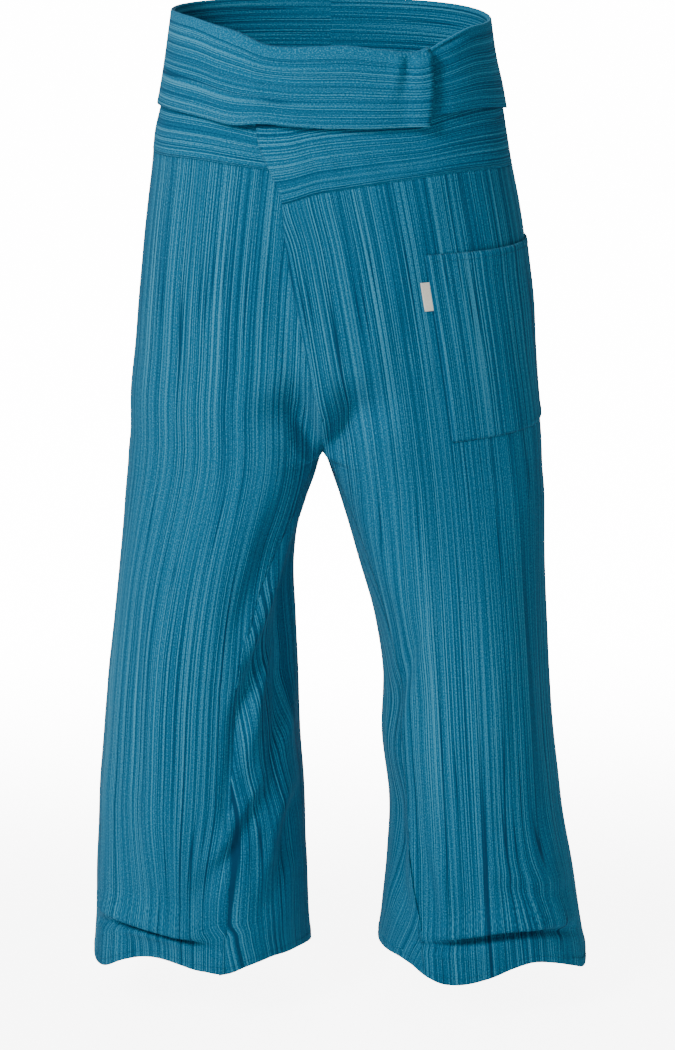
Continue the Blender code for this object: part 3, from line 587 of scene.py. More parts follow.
@dataclass
class Panel:
    """A cloth panel's grid of points with its place on the flat cloth.

    Attributes:
        points: Rows by columns by 3.
        cloth: Rows by columns by 2: across the stripes and along them, in metres.
        facing: 1, or -1 where the grid's own normals point inwards.
        ring: Whether the last column lies on the first one.
    """

    points: Array
    cloth: Array
    facing: int = 1
    ring: bool = False

    def __post_init__(self) -> None:
        """Works out the outward normals."""
        self.normals = normals_of(self.points) * self.facing

    def build(self, name: str, material: Material, wall: float = CLOTH_WALL) -> Object:
        """Makes the panel's shell.

        Args:
            name: Object's name.
            material: What it is made of.
            wall: Thickness of the cloth, or 0 for a surface that closes on itself.

        Returns:
            The shell, with its wall applied.
        """
        rows, columns = self.points.shape[:2]
        piece = new_grid(name, columns - 1, rows - 1)
        mesh = piece.data
        mesh.vertices.foreach_set("co", self.points.reshape(-1))
        if mesh.uv_layers:
            mesh.uv_layers.remove(mesh.uv_layers[0])
        layer = mesh.uv_layers.new(name=UV_NAME)
        loops = np.zeros(len(mesh.loops), dtype=np.int32)
        mesh.loops.foreach_get("vertex_index", loops)
        layer.data.foreach_set("uv", self.cloth.reshape(-1, 2)[loops].reshape(-1))
        if self.facing < 0:
            mesh.flip_normals()
        mesh.materials.append(material)
        mesh.update()
        if self.ring:
            bpy.ops.object.mode_set(mode="EDIT")
            bpy.ops.mesh.select_all(action="SELECT")
            bpy.ops.mesh.remove_doubles(threshold=1e-5)
            bpy.ops.object.mode_set(mode="OBJECT")
        if wall > 0:
            self.thicken(piece, wall)
        return piece

    @staticmethod
    def thicken(piece: Object, wall: float) -> None:
        """Gives a surface the cloth's wall, inwards from its outer face.

        Args:
            piece: The surface.
            wall: Thickness of the wall.
        """
        bpy.context.view_layer.objects.active = piece
        modifier = piece.modifiers.new("Wall", "SOLIDIFY")
        modifier.thickness = wall
        modifier.offset = -1
        bpy.ops.object.modifier_apply(modifier=modifier.name)

    def spot(self, row: Array, column: Array) -> Pair:
        """Points and outward normals at whole rows, between their grid columns.

        Args:
            row: Whole row numbers.
            column: Column numbers, which may lie between two columns.

        Returns:
            Points and normals.
        """
        low = np.minimum(column.astype(int), self.points.shape[1] - 2)
        share = (column - low)[:, None]
        return tuple(grid[row, low] * (1 - share) + grid[row, low + 1] * share
                     for grid in (self.points, self.normals))

    def at(self, u: Array, v: Array) -> Pair:
        """Points and outward normals at places on the flat cloth.

        Args:
            u: Across the stripes, in metres.
            v: Along the stripes, in metres.

        Returns:
            Points and normals.
        """
        row = np.interp(v, self.cloth[:, 0, 1], np.arange(len(self.cloth)))
        low = np.minimum(row.astype(int), len(self.cloth) - 2)
        numbers = np.arange(self.cloth.shape[1])
        found = []
        for near in (low, low + 1):
            columns = np.array([np.interp(a, self.cloth[r, :, 0], numbers) for a, r in zip(u, near)])
            found.append(self.spot(near, columns))
        share = (row - low)[:, None]
        points, normals = (found[0][k] * (1 - share) + found[1][k] * share for k in (0, 1))
        return points, unit(normals)


@dataclass
class LegPanel:
    """One leg: from the band seam to the hem, and from the inseam round to itself.

    Attributes:
        side: The wearer's side.
        front: Columns from the front edge to the pocket line, and on to the outer side.
        back: Columns from the outer side round to the inseam.
        rows: Rows from the band seam to the hem.
        lap_columns: Columns that pass under the other edge at the inseam.
        lap_inward: How far they lie inwards.
        hem_turn_up: Height of the hem's turned-up inside.
        hem_seam: Height of its stitches over the edge.
        inseam_seam: Distance of the stitches from the inseam.
        blends: Where the stripes start to follow the hollow over the crotch, and over what height: at the
            front, and elsewhere.
        swells: The cloth's long and short swells: share of the height that they are read at, size, height,
            and how much higher they are at the hem.
    """

    side: Side
    front: tuple[int, int] = (34, 36)
    back: int = 92
    rows: int = 205
    lap_columns: int = 3
    lap_inward: float = 0.0008
    hem_turn_up: float = 0.010
    hem_seam: float = 0.0075
    inseam_seam: float = 0.0024
    blends: tuple[tuple[float, float], ...] = ((0.015, 0.25), (0.050, 0.14))
    swells: tuple[tuple[float, ...], ...] = ((0.16, 0.040, 0.0008, 0.0016), (0.30, 0.017, 0.00035, 0.0006))

    def base_row(self, height: float) -> tuple[Array, Array, Array, float]:
        """Columns of one level row on the base surface.

        Args:
            height: The row's height.

        Returns:
            X, Y, length along the cloth from the reference line, and 1 where the face is the front.
        """
        side, sign = self.side, self.side.value
        closed = height < CROTCH
        outer = float(of_leg(side, "outer", height))
        if closed:
            inner, start = (float(of_leg(side, part, height)) for part in ("inner", "inseam"))
        else:
            inner = start = CENTRE_SEAM - sign * SEAM_OVERLAP
            if side is Side.LEFT and height >= FLAP_END:
                start = float(read(WRAP, "free", height))
        stretches = [(start, outer, Face.FRONT), (outer, inner, Face.BACK)]
        if closed:
            stretches.append((inner, start, Face.FRONT))
        parts = []
        for first, last, face in stretches:
            x = first + (last - first) * (1 - np.cos(np.linspace(0, math.pi, DENSE))) / 2
            hollow, plain = (depth_at(x, height, face, side, hollowed) for hollowed in (True, False))
            parts.append((x, hollow, plain, np.full(DENSE, float(face is Face.FRONT))))
        xs, ys, flats, fronts = (np.concatenate(part) for part in zip(*parts))
        steps = np.hypot(np.diff(xs), np.diff(ys))
        along = running_total(steps)
        straight = np.hypot(np.diff(xs), np.diff(flats))
        straight[DENSE - 1::DENSE] = 0.0
        slow, quick = (ease((CROTCH + above - height) / run) for above, run in self.blends)
        own = np.where(np.arange(len(steps)) < DENSE, slow, quick)
        across = running_total(straight * (1 - own) + steps * own)
        middle = float(read(LINES, "pocket", height)) if side is Side.LEFT else (start + outer) / 2
        marks = [0.0, np.interp(sign * middle, sign * xs[:DENSE], along[:DENSE]), along[DENSE], along[-1]]
        stops = [np.linspace(a, b, n, endpoint=False)
                 for a, b, n in zip(marks, marks[1:], (*self.front, self.back))]
        stops = np.concatenate([*stops, [marks[-1]]])
        reference = marks[1] if side is Side.LEFT else marks[2]
        us = np.interp(stops, along, across) - np.interp(reference, along, across)
        return np.interp(stops, along, xs), np.interp(stops, along, ys), us, np.interp(stops, along, fronts)

    def heights(self) -> Array:
        """Nominal heights of the rows, closer together near the crotch and the hem.

        Returns:
            One height for each row, from the band seam down.
        """
        hem = HEM_HEIGHT[self.side]
        shares = np.linspace(0, 1, 4000)
        z = SEAM_HEIGHT + (hem - SEAM_HEIGHT) * shares
        density = 1 + sum(more * np.exp(-(((z - at) / width) ** 2))
                          for at, width, more in ((CROTCH, 0.025, 1.6), (hem, 0.06, 0.9)))
        total = running_total((density[1:] + density[:-1]) / 2)
        return np.interp(np.linspace(0, total[-1], self.rows), total, z)

    def panel(self) -> Panel:
        """The whole panel, with its lap under the band, its lap at the inseam and its turned-up hem.

        Returns:
            The grid, with its places on the flat cloth.
        """
        side, sign = self.side, self.side.value
        points, cloth = [], []
        hem = HEM_HEIGHT[side]
        for height in self.heights():
            xs, ys, us, fronts = self.base_row(float(height))
            zs = np.full_like(xs, height)
            if near_band(height) > 0:
                edge = read(EDGES, "over" if side is Side.LEFT else "under", turn_at(xs, ys)) - BAND_GAP
                zs = zs + (edge - SEAM_HEIGHT) * near_band(height)
                xs, ys = self.moved(xs, float(height), zs, fronts)
            tx, ty = np.gradient(xs), np.gradient(ys)
            size = np.maximum(np.hypot(tx, ty), 1e-9)
            nx, ny = sign * ty / size, -sign * tx / size
            off = np.zeros_like(xs)
            if side is Side.LEFT:
                settling = ease((height - FLAP_SETTLED) / (PLEAT_END - FLAP_SETTLED))
                off += 2 * LAYER * settling * (1 - unwrapped(xs, height)) * (ys < 0)
            off += crease_height(CREASES[side], xs, ys, zs)
            off += self.ripples(us, height)
            if height < CROTCH:
                around = self.share_round(xs, ys, float(height))
                near_hem = ease((HEM_RISE_START - height) / (HEM_RISE_START - hem))
                zs = zs + read(HEMS[side], "lift", around) * near_hem
                off += read(HEMS[side], "push", around) * near_hem
            us = us - self.sweep(xs, ys, float(height))
            zs = zs - crease_height(CREASES[side], xs, ys, zs, "sag")
            row = np.stack([xs + nx * off, ys + ny * off, zs], axis=1)
            normal = np.stack([nx, ny, np.zeros_like(nx)], axis=1)
            row, us = self.with_lap(row, normal, us)
            points.append(row)
            cloth.append(np.stack([us, np.full_like(us, -height)], axis=1))
        return self.finished(np.array(points), np.array(cloth))

    def ripples(self, us: Array, height: float) -> Array:
        """Small uneven swells of hanging cloth: long up and down, short across, deeper towards the hem.

        Args:
            us: Places across the stripes.
            height: The row's height.

        Returns:
            How far the cloth stands out at each place.
        """
        seed = 11 if self.side is Side.LEFT else 23
        low = ease((-0.45 - height) / 0.35)
        drape = ease((SEAM_HEIGHT - 0.03 - height) / 0.12)
        off_seam = ease(np.minimum(us - us[0], us[-1] - us) / 0.030)
        total = 0.0
        for index, (share, size, rise, more) in enumerate(self.swells):
            swell = soft_noise(us, np.full_like(us, height * share), size, seed + index)
            total += swell * (rise + more * low)
        return off_seam * total * drape

    def sweep(self, xs: Array, ys: Array, height: float) -> Array:
        """How far the stripes have moved along +X where the cloth piles up above the hem.

        Args:
            xs: X of the row's points.
            ys: Y of the same points.
            height: The row's height.

        Returns:
            The shift of each point.
        """
        start, run, loss, low = PILE_HEIGHTS[self.side]
        share = ease((start - height) / run) * (1 - loss * ease((low - height) / 0.02)) * ease(-ys / 0.05)
        piles = (pile.shift * np.exp(-(((xs - pile.x) / pile.width) ** 2)) for pile in PILES[self.side])
        return share * sum(piles)

    def share_round(self, xs: Array, ys: Array, height: float) -> Array:
        """Share of the way round the leg, from its inner side through the front.

        Args:
            xs: X of the row's points.
            ys: Y of the same points.
            height: The row's height.

        Returns:
            The share of each point, from 0 to 1.
        """
        outer, inner = (of_leg(self.side, part, height) for part in ("outer", "inner"))
        inward = -self.side.value * (xs - (outer + inner) / 2)
        return (np.arctan2(-ys, inward) / (2 * math.pi)) % 1.0

    def moved(self, xs: Array, height: float, zs: Array, fronts: Array) -> Pair:
        """Moves the columns of a trunk row to heights of their own.

        Args:
            xs: X of each column on the level row.
            height: The level row's height.
            zs: Height that each column moves to.
            fronts: 1 where a column is on the front.

        Returns:
            X and Y of each column.
        """
        (old_right, old_left), (right, left) = span(height), span(zs)
        off_centre = xs - (old_right + old_left) / 2
        xs = (right + left) / 2 + off_centre * (left - right) / (old_left - old_right)
        front, back = (depth_at(xs, zs, face, self.side) for face in (Face.FRONT, Face.BACK))
        return xs, np.where(fronts > 0.5, front, back)

    def with_lap(self, row: Array, normal: Array, us: Array) -> Pair:
        """Adds columns that pass under the panel's other edge, as a lapped seam does.

        Args:
            row: Points of a row.
            normal: Outward normals at them.
            us: Their places across the stripes.

        Returns:
            The longer row, and its places across the stripes.
        """
        end, ahead = row[-1], unit(row[-1] - row[-3])
        shares = np.linspace(0, 1, self.lap_columns + 1)[1:]
        laps = [end + ahead * SEAM_LAP * s - normal[-1] * self.lap_inward * ease(s * 1.6) for s in shares]
        return np.concatenate([row, laps]), np.concatenate([us, us[-1] + SEAM_LAP * shares])

    def hem_runs(self, panel: Panel) -> list[Pair]:
        """Run of stitches above the hem's edge.

        Args:
            panel: The leg's grid.

        Returns:
            Points and normals of each run.
        """
        v = -HEM_HEIGHT[self.side] - self.hem_seam
        row = int(np.argmin(np.abs(panel.cloth[:, 0, 1] - v)))
        us = np.linspace(panel.cloth[row, 0, 0], panel.cloth[row, -1 - self.lap_columns, 0], 500)
        return [panel.at(us, np.full_like(us, v))]

    def inseam_runs(self, panel: Panel) -> list[Pair]:
        """Run of stitches beside the inseam, from the crotch to the hem.

        Args:
            panel: The leg's grid.

        Returns:
            Points and normals of each run.
        """
        vs = np.linspace(-CROTCH + 0.004, -HEM_HEIGHT[self.side] - 0.002, 400)
        start = np.interp(vs, panel.cloth[:, 0, 1], panel.cloth[:, 0, 0])
        return [panel.at(start + self.inseam_seam, vs)]

    def finished(self, points: Array, cloth: Array) -> Panel:
        """Adds the lap under the waistband and the hem's turned-up inside.

        Args:
            points: Rows of points from the band seam to the hem.
            cloth: Their places on the flat cloth.

        Returns:
            The whole panel.
        """
        inward = normals_of(points) * self.side.value
        top, low = (points[:1], inward[:1], cloth[:1]), (points[-1:], inward[-2:-1], cloth[-1:])

        def strip(edge: tuple[Array, ...], deep: float, up: float, along: float) -> Pair:
            """Row of points that stands off an edge inwards and up, and its row of cloth."""
            return edge[0] + edge[1] * deep + np.array([0, 0, up]), edge[2] + np.array([0.0, along])

        turn = 0.0011
        strips = [strip(top, 0.0012, SEAM_LAP, -SEAM_LAP), strip(top, turn, 0.0004, -0.001)]
        strips += [(points, cloth), strip(low, turn / 2, -0.0005, 0.0006), strip(low, turn, 0.0, 0.0012)]
        strips += [strip(low, turn, self.hem_turn_up * share, along)
                   for share, along in ((0.35, 0.004), (0.7, 0.007), (1.0, 0.010))]
        return Panel(*(np.concatenate(part) for part in zip(*strips)), -self.side.value)


def pleat_panel(main: Panel, leg: LegPanel) -> Panel:
    """Hidden part of the wrap on the left leg.

    Args:
        main: The left leg's panel, whose first column the pleat meets.
        leg: The left leg.

    Returns:
        Panel from the centre seam to the hidden fold and back to the free fold.
    """
    first_row, columns, nudge = 2, 14, 0.001
    rows, cloths = [], []
    for index, height in enumerate(leg.heights()):
        if height < PLEAT_END:
            break
        height = float(height)
        free, hidden = float(read(WRAP, "free", height)), float(read(WRAP, "hidden", height))
        joint = main.points[first_row + index, 0]
        row = []
        for layer, start, stop in ((0, CENTRE_SEAM - SEAM_OVERLAP, hidden), (1, hidden, free)):
            xs = np.linspace(start, stop, columns)
            ys = depth_at(xs, height, Face.FRONT, Side.LEFT)
            under = read(EDGES, "under", turn_at(xs, ys)) - BAND_GAP
            zs = height + (under - SEAM_HEIGHT) * near_band(height)
            if layer == 1:
                zs = zs + (joint[2] - zs[-1]) * np.linspace(0, 1, len(xs))
            ys = depth_at(xs, zs, Face.FRONT, Side.LEFT)
            after, before = (depth_at(xs + step, zs, Face.FRONT, Side.LEFT) for step in (nudge, -nudge))
            slope = (after - before) / (2 * nudge)
            size = np.hypot(1, slope)
            row.append(np.stack([xs + layer * LAYER * slope / size, ys - layer * LAYER / size, zs], axis=1))
        row = np.concatenate(row)
        bulge = (row[-1] + joint) / 2 + np.array([-0.0007, 0.0, 0.0])
        row = np.concatenate([row, [bulge, joint]])
        rows.append(row)
        us = running_length(row)
        start_u = main.cloth[first_row + index, 0, 0]
        cloths.append(np.stack([start_u - us[-1] + us, np.full_like(us, -height)], axis=1))
    return Panel(np.array(rows), np.array(cloths), -1)


@dataclass
class Pocket:
    """Patch pocket on the left leg, with its edges turned in.

    Attributes:
        leg: The left leg's panel.
        width: From its front edge to its rear one, along the cloth.
        top: Depth of its mouth below the waist.
        low_front: Depth of its lower edge at the front.
        low_rear: The same at the rear.
        columns: Columns of its outer face.
        rows: Rows of its outer face.
        turned: Places of the turned-in cloth's three lines, counted from an edge.
        turned_off: How far each of them stands off the leg.
        off: How far the outer face stands off it.
        mouth: How much further it gapes at the mouth.
        hem: Depth of the mouth's hem.
        edge: Distance of the stitches from an edge.
    """

    leg: Panel
    width: float = 0.1795
    top: float = 0.1805
    low_front: float = 0.3835
    low_rear: float = 0.3765
    columns: int = 64
    rows: int = 72
    turned: tuple[float, ...] = (0.006, 0.0018, 0.0)
    turned_off: tuple[float, ...] = (0.0004, 0.0004, 0.0009)
    off: float = 0.0024
    mouth: float = 0.0022
    hem: float = 0.0075
    edge: float = 0.0022

    def low(self, u: Array) -> Array:
        """Depth of the lower edge at each place across."""
        return self.low_front + (self.low_rear - self.low_front) * np.clip(u / self.width, 0, 1)

    def panel(self) -> Panel:
        """Grid of the pocket, with the turned-in cloth behind each edge.

        Returns:
            The grid, with its places on the flat cloth.
        """
        turned, offs = np.array(self.turned), np.array(self.turned_off)
        inner = np.linspace(0, 1, self.columns)[1:-1] * self.width
        us = np.concatenate([turned, inner, self.width - turned[::-1]])
        across_off = np.concatenate([offs, np.full(len(inner), self.off), offs[::-1]])
        inner = np.linspace(0, 1, self.rows)[1:-1]
        points, cloth = [], []
        gape_run, swell_size, swell_height, least = 0.022, 0.028, 0.0007, -0.0003
        for index in range(self.rows + 2 * len(turned) - 2):
            if index < len(turned):
                vs, down_off = self.top + turned[index] + 0 * us, offs[index]
            elif index < len(turned) + len(inner):
                vs = self.top + (self.low(us) - self.top) * inner[index - len(turned)]
                down_off = self.off
            else:
                back = index - len(turned) - len(inner)
                vs, down_off = self.low(us) - turned[::-1][back], offs[::-1][back]
            off = np.minimum(across_off, down_off)
            share = np.clip(us / self.width, 0, 1)
            gape = self.mouth * np.exp(-((vs - self.top) / gape_run) ** 2) * np.sin(math.pi * share) ** 2
            swell = soft_noise(us, vs * 0.5, swell_size, 31) * swell_height * np.sin(math.pi * share)
            on, out = self.leg.at(us, vs)
            points.append(on + out * (off + gape + np.maximum(swell, least))[:, None])
            cloth.append(np.stack([us, vs], axis=1))
        return Panel(np.array(points), np.array(cloth), -1)

    def seams(self) -> list[Pair]:
        """Runs of stitches on the pocket's own cloth, as places across and along it.

        Returns:
            The places across and along of each run.
        """
        edge, down = self.edge, np.linspace(0, 1, 160)
        runs = [(np.full_like(down, u), self.top + (low - self.top - edge) * down)
                for u, low in ((edge, self.low_front), (self.width - edge, self.low_rear))]
        across = edge + (self.width - 2 * edge) * down
        return [*runs, (across, self.low(across) - edge), (across, np.full_like(down, self.top + self.hem))]


@dataclass
class Label:
    """Blank woven label, caught under the pocket's front edge.

    Attributes:
        leg: The left leg's panel.
        width: Width of what shows.
        caught: Width of what the pocket covers.
        top: Depth of its upper end below the waist.
        low: Depth of its lower end.
        columns: Columns of its grid.
        rows: Rows of its grid.
        off: How far it stands off the leg, and as much again at its free edge.
        curl: How much further its corners stand off.
    """

    leg: Panel
    width: float = 0.0098
    caught: float = 0.0012
    top: float = 0.2095
    low: float = 0.2399
    columns: int = 10
    rows: int = 26
    off: float = 0.0009
    curl: float = 0.0006

    def panel(self) -> Panel:
        """Grid of the ribbon, its free edge a little proud.

        Returns:
            The grid, with its places on the flat cloth.
        """
        points, cloth = [], []
        for v in np.linspace(self.top, self.low, self.rows):
            u = np.linspace(-self.width, self.caught, self.columns)
            on, out = self.leg.at(u, np.full_like(u, v))
            free = (-u / self.width).clip(0, 1)
            end = abs(v - (self.top + self.low) / 2) / (self.low - self.top) * 2
            points.append(on + out * (self.off + self.off * free + self.curl * free * end**2)[:, None])
            cloth.append(np.stack([u, np.full_like(u, v)], axis=1))
        return Panel(np.array(points), np.array(cloth), -1)


@dataclass
class Thread:
    """Top stitching: a thread that rises over the cloth and dips under it.

    Attributes:
        stitch: Length of one stitch with its gap.
        radius: Of the thread.
        profile: How far it stands off the cloth at even steps along one stitch.
        sides: Of its section.
        tall: Height of its map, round the section.
    """

    stitch: float = 0.0032
    radius: float = 0.00024
    profile: tuple[float, ...] = (-0.0005, 0.00016, 0.00022, 0.00022, 0.00016)
    sides: int = 6
    tall: float = 0.0015

    def run(self, points: Array, normals: Array) -> Panel:
        """Tube along a path on the cloth.

        Args:
            points: Path on the cloth's outer face.
            normals: Outward normals along it.

        Returns:
            Grid of the tube, whose last row meets its first.
        """
        along = running_length(points)
        steps = max(1, round(along[-1] / self.stitch)) * len(self.profile)
        stops = np.linspace(0, along[-1], steps + 1)
        path, out = (np.stack([np.interp(stops, along, grid[:, k]) for k in range(3)], axis=1)
                     for grid in (points, normals))
        out = unit(out)
        beside = unit(np.cross(np.gradient(path, axis=0), out))
        off = np.resize(np.array(self.profile), steps + 1)[:, None]
        rows = [path + out * (off + self.radius * math.cos(turn)) + beside * self.radius * math.sin(turn)
                for turn in np.linspace(0, 2 * math.pi, self.sides + 1)]
        cloth = np.stack(np.meshgrid(stops, np.linspace(0, self.tall, self.sides + 1)), axis=2)
        return Panel(np.array(rows), cloth)

    def sew(self, name: str, runs: Sequence[Pair], material: Material) -> Object:
        """Makes one object of several runs.

        Args:
            name: Object's name.
            runs: Points and normals of each run.
            material: What the thread is made of.

        Returns:
            The stitches.
        """
        return joined([self.run(*run).build(f"{name}_{index}", material, wall=0)
                       for index, run in enumerate(runs)], name)


def joined(pieces: Sequence[Object], name: str) -> Object:
    """Joins pieces into the first one and names it.

    Args:
        pieces: The pieces.
        name: Name of the whole.

    Returns:
        The whole.
    """
    bpy.ops.object.select_all(action="DESELECT")
    for piece in pieces:
        piece.select_set(True)
    bpy.context.view_layer.objects.active = pieces[0]
    bpy.ops.object.join()
    whole = bpy.context.active_object
    whole.name = whole.data.name = name
    return whole


@dataclass
class Waistband:
    """The waistband's ring: hip part, fold and cuff, with the wrap's nested layers.

    Attributes:
        back_steps: Columns of a quarter at the back.
        side_steps: Columns from a side to the wrap.
        wrap_steps: Columns of each layer of the wrap.
        cuff_layers: Layers that each turn of the wrap lies out in the cuff, the outermost first.
        settled: Layers that the cuff lies out where nothing is wrapped.
        fold_height: Nominal height of the fold.
        cuff_height: Nominal height of the cuff's edge.
        hip_rows: Rows of the hip part.
        crest_rows: Rows over the fold.
        cuff_rows: Rows of the cuff.
        tie_layer: Layers that the tie lies out on the wrap.
        tie_top: Height of its upper edge.
        tie_low: Height of its lower edge.
        tie_rows: Rows of its grid.
        tie_ends: How far its ends reach past the middle.
        tie_cross: Where the upper end climbs on the lower one.
        tie_cross_run: Over what length.
        end_top: Height under which the wrap's end stands proud in the cuff, and the run to it.
        end_proud: How far it stands out, from where, and over what length.
        end_sunk: How far the cloth past it is pulled in, where, and how wide.
    """

    back_steps: int = 40
    side_steps: int = 30
    wrap_steps: int = 40
    cuff_layers: tuple[int, int, int] = (7, 6, 5)
    settled: int = 2
    fold_height: float = 0.040
    cuff_height: float = -0.045
    hip_rows: int = 26
    crest_rows: int = 7
    cuff_rows: int = 20
    tie_layer: int = 3
    tie_top: float = 0.006
    tie_low: float = -0.022
    tie_rows: int = 7
    tie_ends: float = 0.035
    tie_cross: float = -0.072
    tie_cross_run: float = 0.025
    end_top: tuple[float, float] = (0.047, 0.012)
    end_proud: tuple[float, float, float] = (0.0052, 0.064, 0.019)
    end_sunk: tuple[float, float, float] = (0.0022, 0.094, 0.012)

    def ring_xy(self, angle: Array | float, height: Array | float) -> Pair:
        """Point of the trunk's base ring at an angle of its section.

        Args:
            angle: Angle in degrees, below 0 at the front.
            height: The ring's height.

        Returns:
            X and Y.
        """
        right, left = span(height)
        cosine, sine = np.cos(np.radians(angle)), np.sin(np.radians(angle))
        across = np.sign(cosine) * np.abs(cosine) ** (2 / TRUNK_POWER)
        depth = np.where(sine < 0, read(SECTIONS, "front", height), read(SECTIONS, "back", height))
        return ((right + left) / 2 + (left - right) / 2 * across,
                np.sign(sine) * depth * np.abs(sine) ** (2 / TRUNK_POWER))

    def ring_angle(self, x: float, height: float) -> float:
        """Angle of the trunk's section where its front stands at x.

        Args:
            x: X of the point.
            height: The ring's height.

        Returns:
            The angle in degrees, from -180 to 0.
        """
        right, left = span(height)
        across = float((x - (right + left) / 2) / ((left - right) / 2))
        return -math.degrees(math.acos(math.copysign(abs(across) ** (TRUNK_POWER / 2), across)))

    def fold_angles(self, height: float) -> tuple[float, float]:
        """Angles of the wrap's free and hidden fold."""
        places = (float(read(WRAP, name, height)) for name in ("free", "hidden"))
        return tuple(self.ring_angle(x, height) for x in places)

    def stops(self, start: float, stop: float, steps: int, height: float) -> Array:
        """Angles from start to stop, evenly along the cloth.

        Args:
            start: First angle.
            stop: Last angle.
            steps: How many steps lie between them.
            height: Height of the section.

        Returns:
            One angle more than there are steps.
        """
        angles = np.linspace(start, stop, DENSE)
        xs, ys = self.ring_xy(angles, height)
        along = running_length(np.stack([xs, ys], axis=1))
        return np.interp(np.linspace(0, along[-1], steps + 1), along, angles)

    def place(self, angle: Array, height: Array, off: Array) -> Array:
        """Points off the trunk's base ring.

        Args:
            angle: Angle of each point.
            height: Height of each, or of all.
            off: How far each stands out.

        Returns:
            The points.
        """
        x, y = self.ring_xy(angle, height)
        ahead, behind = self.ring_xy(angle + 0.5, height), self.ring_xy(angle - 0.5, height)
        tx, ty = ahead[0] - behind[0], ahead[1] - behind[1]
        out = off / np.hypot(tx, ty)
        return np.stack([x + ty * out, y - tx * out, np.broadcast_to(height, x.shape)], axis=-1)

    def columns(self, height: float) -> tuple[Array, Array, Array]:
        """Angle, layer and number of each column at one height.

        Args:
            height: The height.

        Returns:
            The three, in that order.
        """
        free, hidden = self.fold_angles(height)
        back, side, wrap = self.back_steps, self.side_steps, self.wrap_steps
        stretches = (
            (-270, -180, back, 0), (-180, free, side, 0), (free, hidden, wrap, 0), (hidden, free, wrap, 1),
            (free, hidden, wrap, 2), (hidden, 0, side, 2), (0, 90, back, 2),
        )
        angles, layers = [], []
        for start, stop, steps, layer in stretches:
            found = self.stops(start, stop, steps, height)
            if layers and layers[-1] == layer:
                found = found[1:]
            angles.extend(found)
            layers.extend([layer] * len(found))
        return np.array(angles), np.array(layers), np.arange(len(angles))

    def level(self, height: float) -> tuple[Array, ...]:
        """Angle, layer, number, X, Y and turn round the waist of each column at one height.

        Args:
            height: The height.

        Returns:
            The six, in that order.
        """
        angles, layers, numbers = self.columns(height)
        x, y = self.ring_xy(angles, height)
        return angles, layers, numbers, x, y, turn_at(x, y)

    def wrap_share(self, x: Array, y: Array, height: float) -> Array:
        """1 on the wrap, falling to 0 on both sides of it and at the back."""
        before = ease((read(WRAP, "free", height) - x - SETTLE_START) / SETTLE_RUN)
        return np.where(y > 0, 0.0, (1 - before) * (1 - unwrapped(x, height)))

    def hip_off(self, x: Array, y: Array, layers: Array, height: float) -> Array:
        """Layers that the hip part lies out from the base surface."""
        outer = np.where(y > 0, 0.0, 2 * (1 - unwrapped(x, height)))
        return np.choose(layers, [np.zeros_like(x), np.ones_like(x), outer])

    def cuff_off(self, x: Array, y: Array, layers: Array, height: float) -> Array:
        """Layers that the cuff lies out from the base surface."""
        out = np.array(self.cuff_layers)[layers] - self.settled
        return self.settled + out * self.wrap_share(x, y, height)

    def panel(self) -> Panel:
        """Rows of the band: up the hip part, over the fold and down the cuff.

        Returns:
            The grid, with its places on the flat cloth.
        """
        over_start = self.back_steps + self.side_steps + 2 * (self.wrap_steps + 1)
        free_angle = self.fold_angles(SEAM_HEIGHT)[0]
        free_seam = float(read(EDGES, "over", turn_at(*self.ring_xy(free_angle, SEAM_HEIGHT))))
        rows = []
        for share in np.linspace(0, 1, self.hip_rows):
            nominal = SEAM_HEIGHT + (self.fold_height - SEAM_HEIGHT) * share
            angles, layers, numbers, x, y, turn = self.level(nominal)
            under, over, base = (read(EDGES, name, turn) for name in ("under", "over", "fold"))
            towards_free = 1 - (over_start - 1 - numbers) / self.wrap_steps
            seam = np.choose(layers, [under, under + (free_seam - under) * towards_free, over])
            height = seam + (base - seam) * share
            off = self.hip_off(x, y, layers, nominal) * LAYER + self.hip_swell(x, y, height, layers)
            rows.append(self.place(angles, height, off))
        angles, layers, numbers, x, y, turn = self.level(self.fold_height)
        base = read(EDGES, "fold", turn)
        hip, cuff = (part(x, y, layers, self.fold_height) for part in (self.hip_off, self.cuff_off))
        for crest in np.linspace(0, math.pi, self.crest_rows + 2)[1:-1]:
            radius = (cuff - hip) / 2 * LAYER
            off = (cuff + hip) / 2 * LAYER - radius * math.cos(crest)
            place = self.place(angles, base, off)
            place[:, 2] += radius * math.sin(crest)
            rows.append(place)
        for share in np.linspace(0, 1, self.cuff_rows):
            nominal = self.fold_height + (self.cuff_height - self.fold_height) * share
            angles, layers, numbers, x, y, turn = self.level(nominal)
            outer, past, base = (read(EDGES, name, turn) for name in ("cuff", "cuff_left", "fold"))
            low = outer + (past - outer) * ease((numbers - over_start) / self.wrap_steps)
            height = base + (low - base) * share
            off = self.cuff_off(x, y, layers, nominal) * LAYER + self.cuff_swell(x, y, height, layers)
            rows.append(self.place(angles, height, off))
        points = np.array(rows)
        points[:, -1] = points[:, 0]
        steps = np.linalg.norm(np.diff(points, axis=0), axis=2).mean(axis=1)
        return Panel(points, self.band_cloth(running_total(steps), points[self.hip_rows // 2]), ring=True)

    @staticmethod
    def band_cloth(heights: Array, row: Array) -> Array:
        """Flat places of a band whose stripes run round the waist, along one of its rows."""
        return np.stack(np.broadcast_arrays(heights[:, None], running_length(row)[None, :]), axis=2).copy()

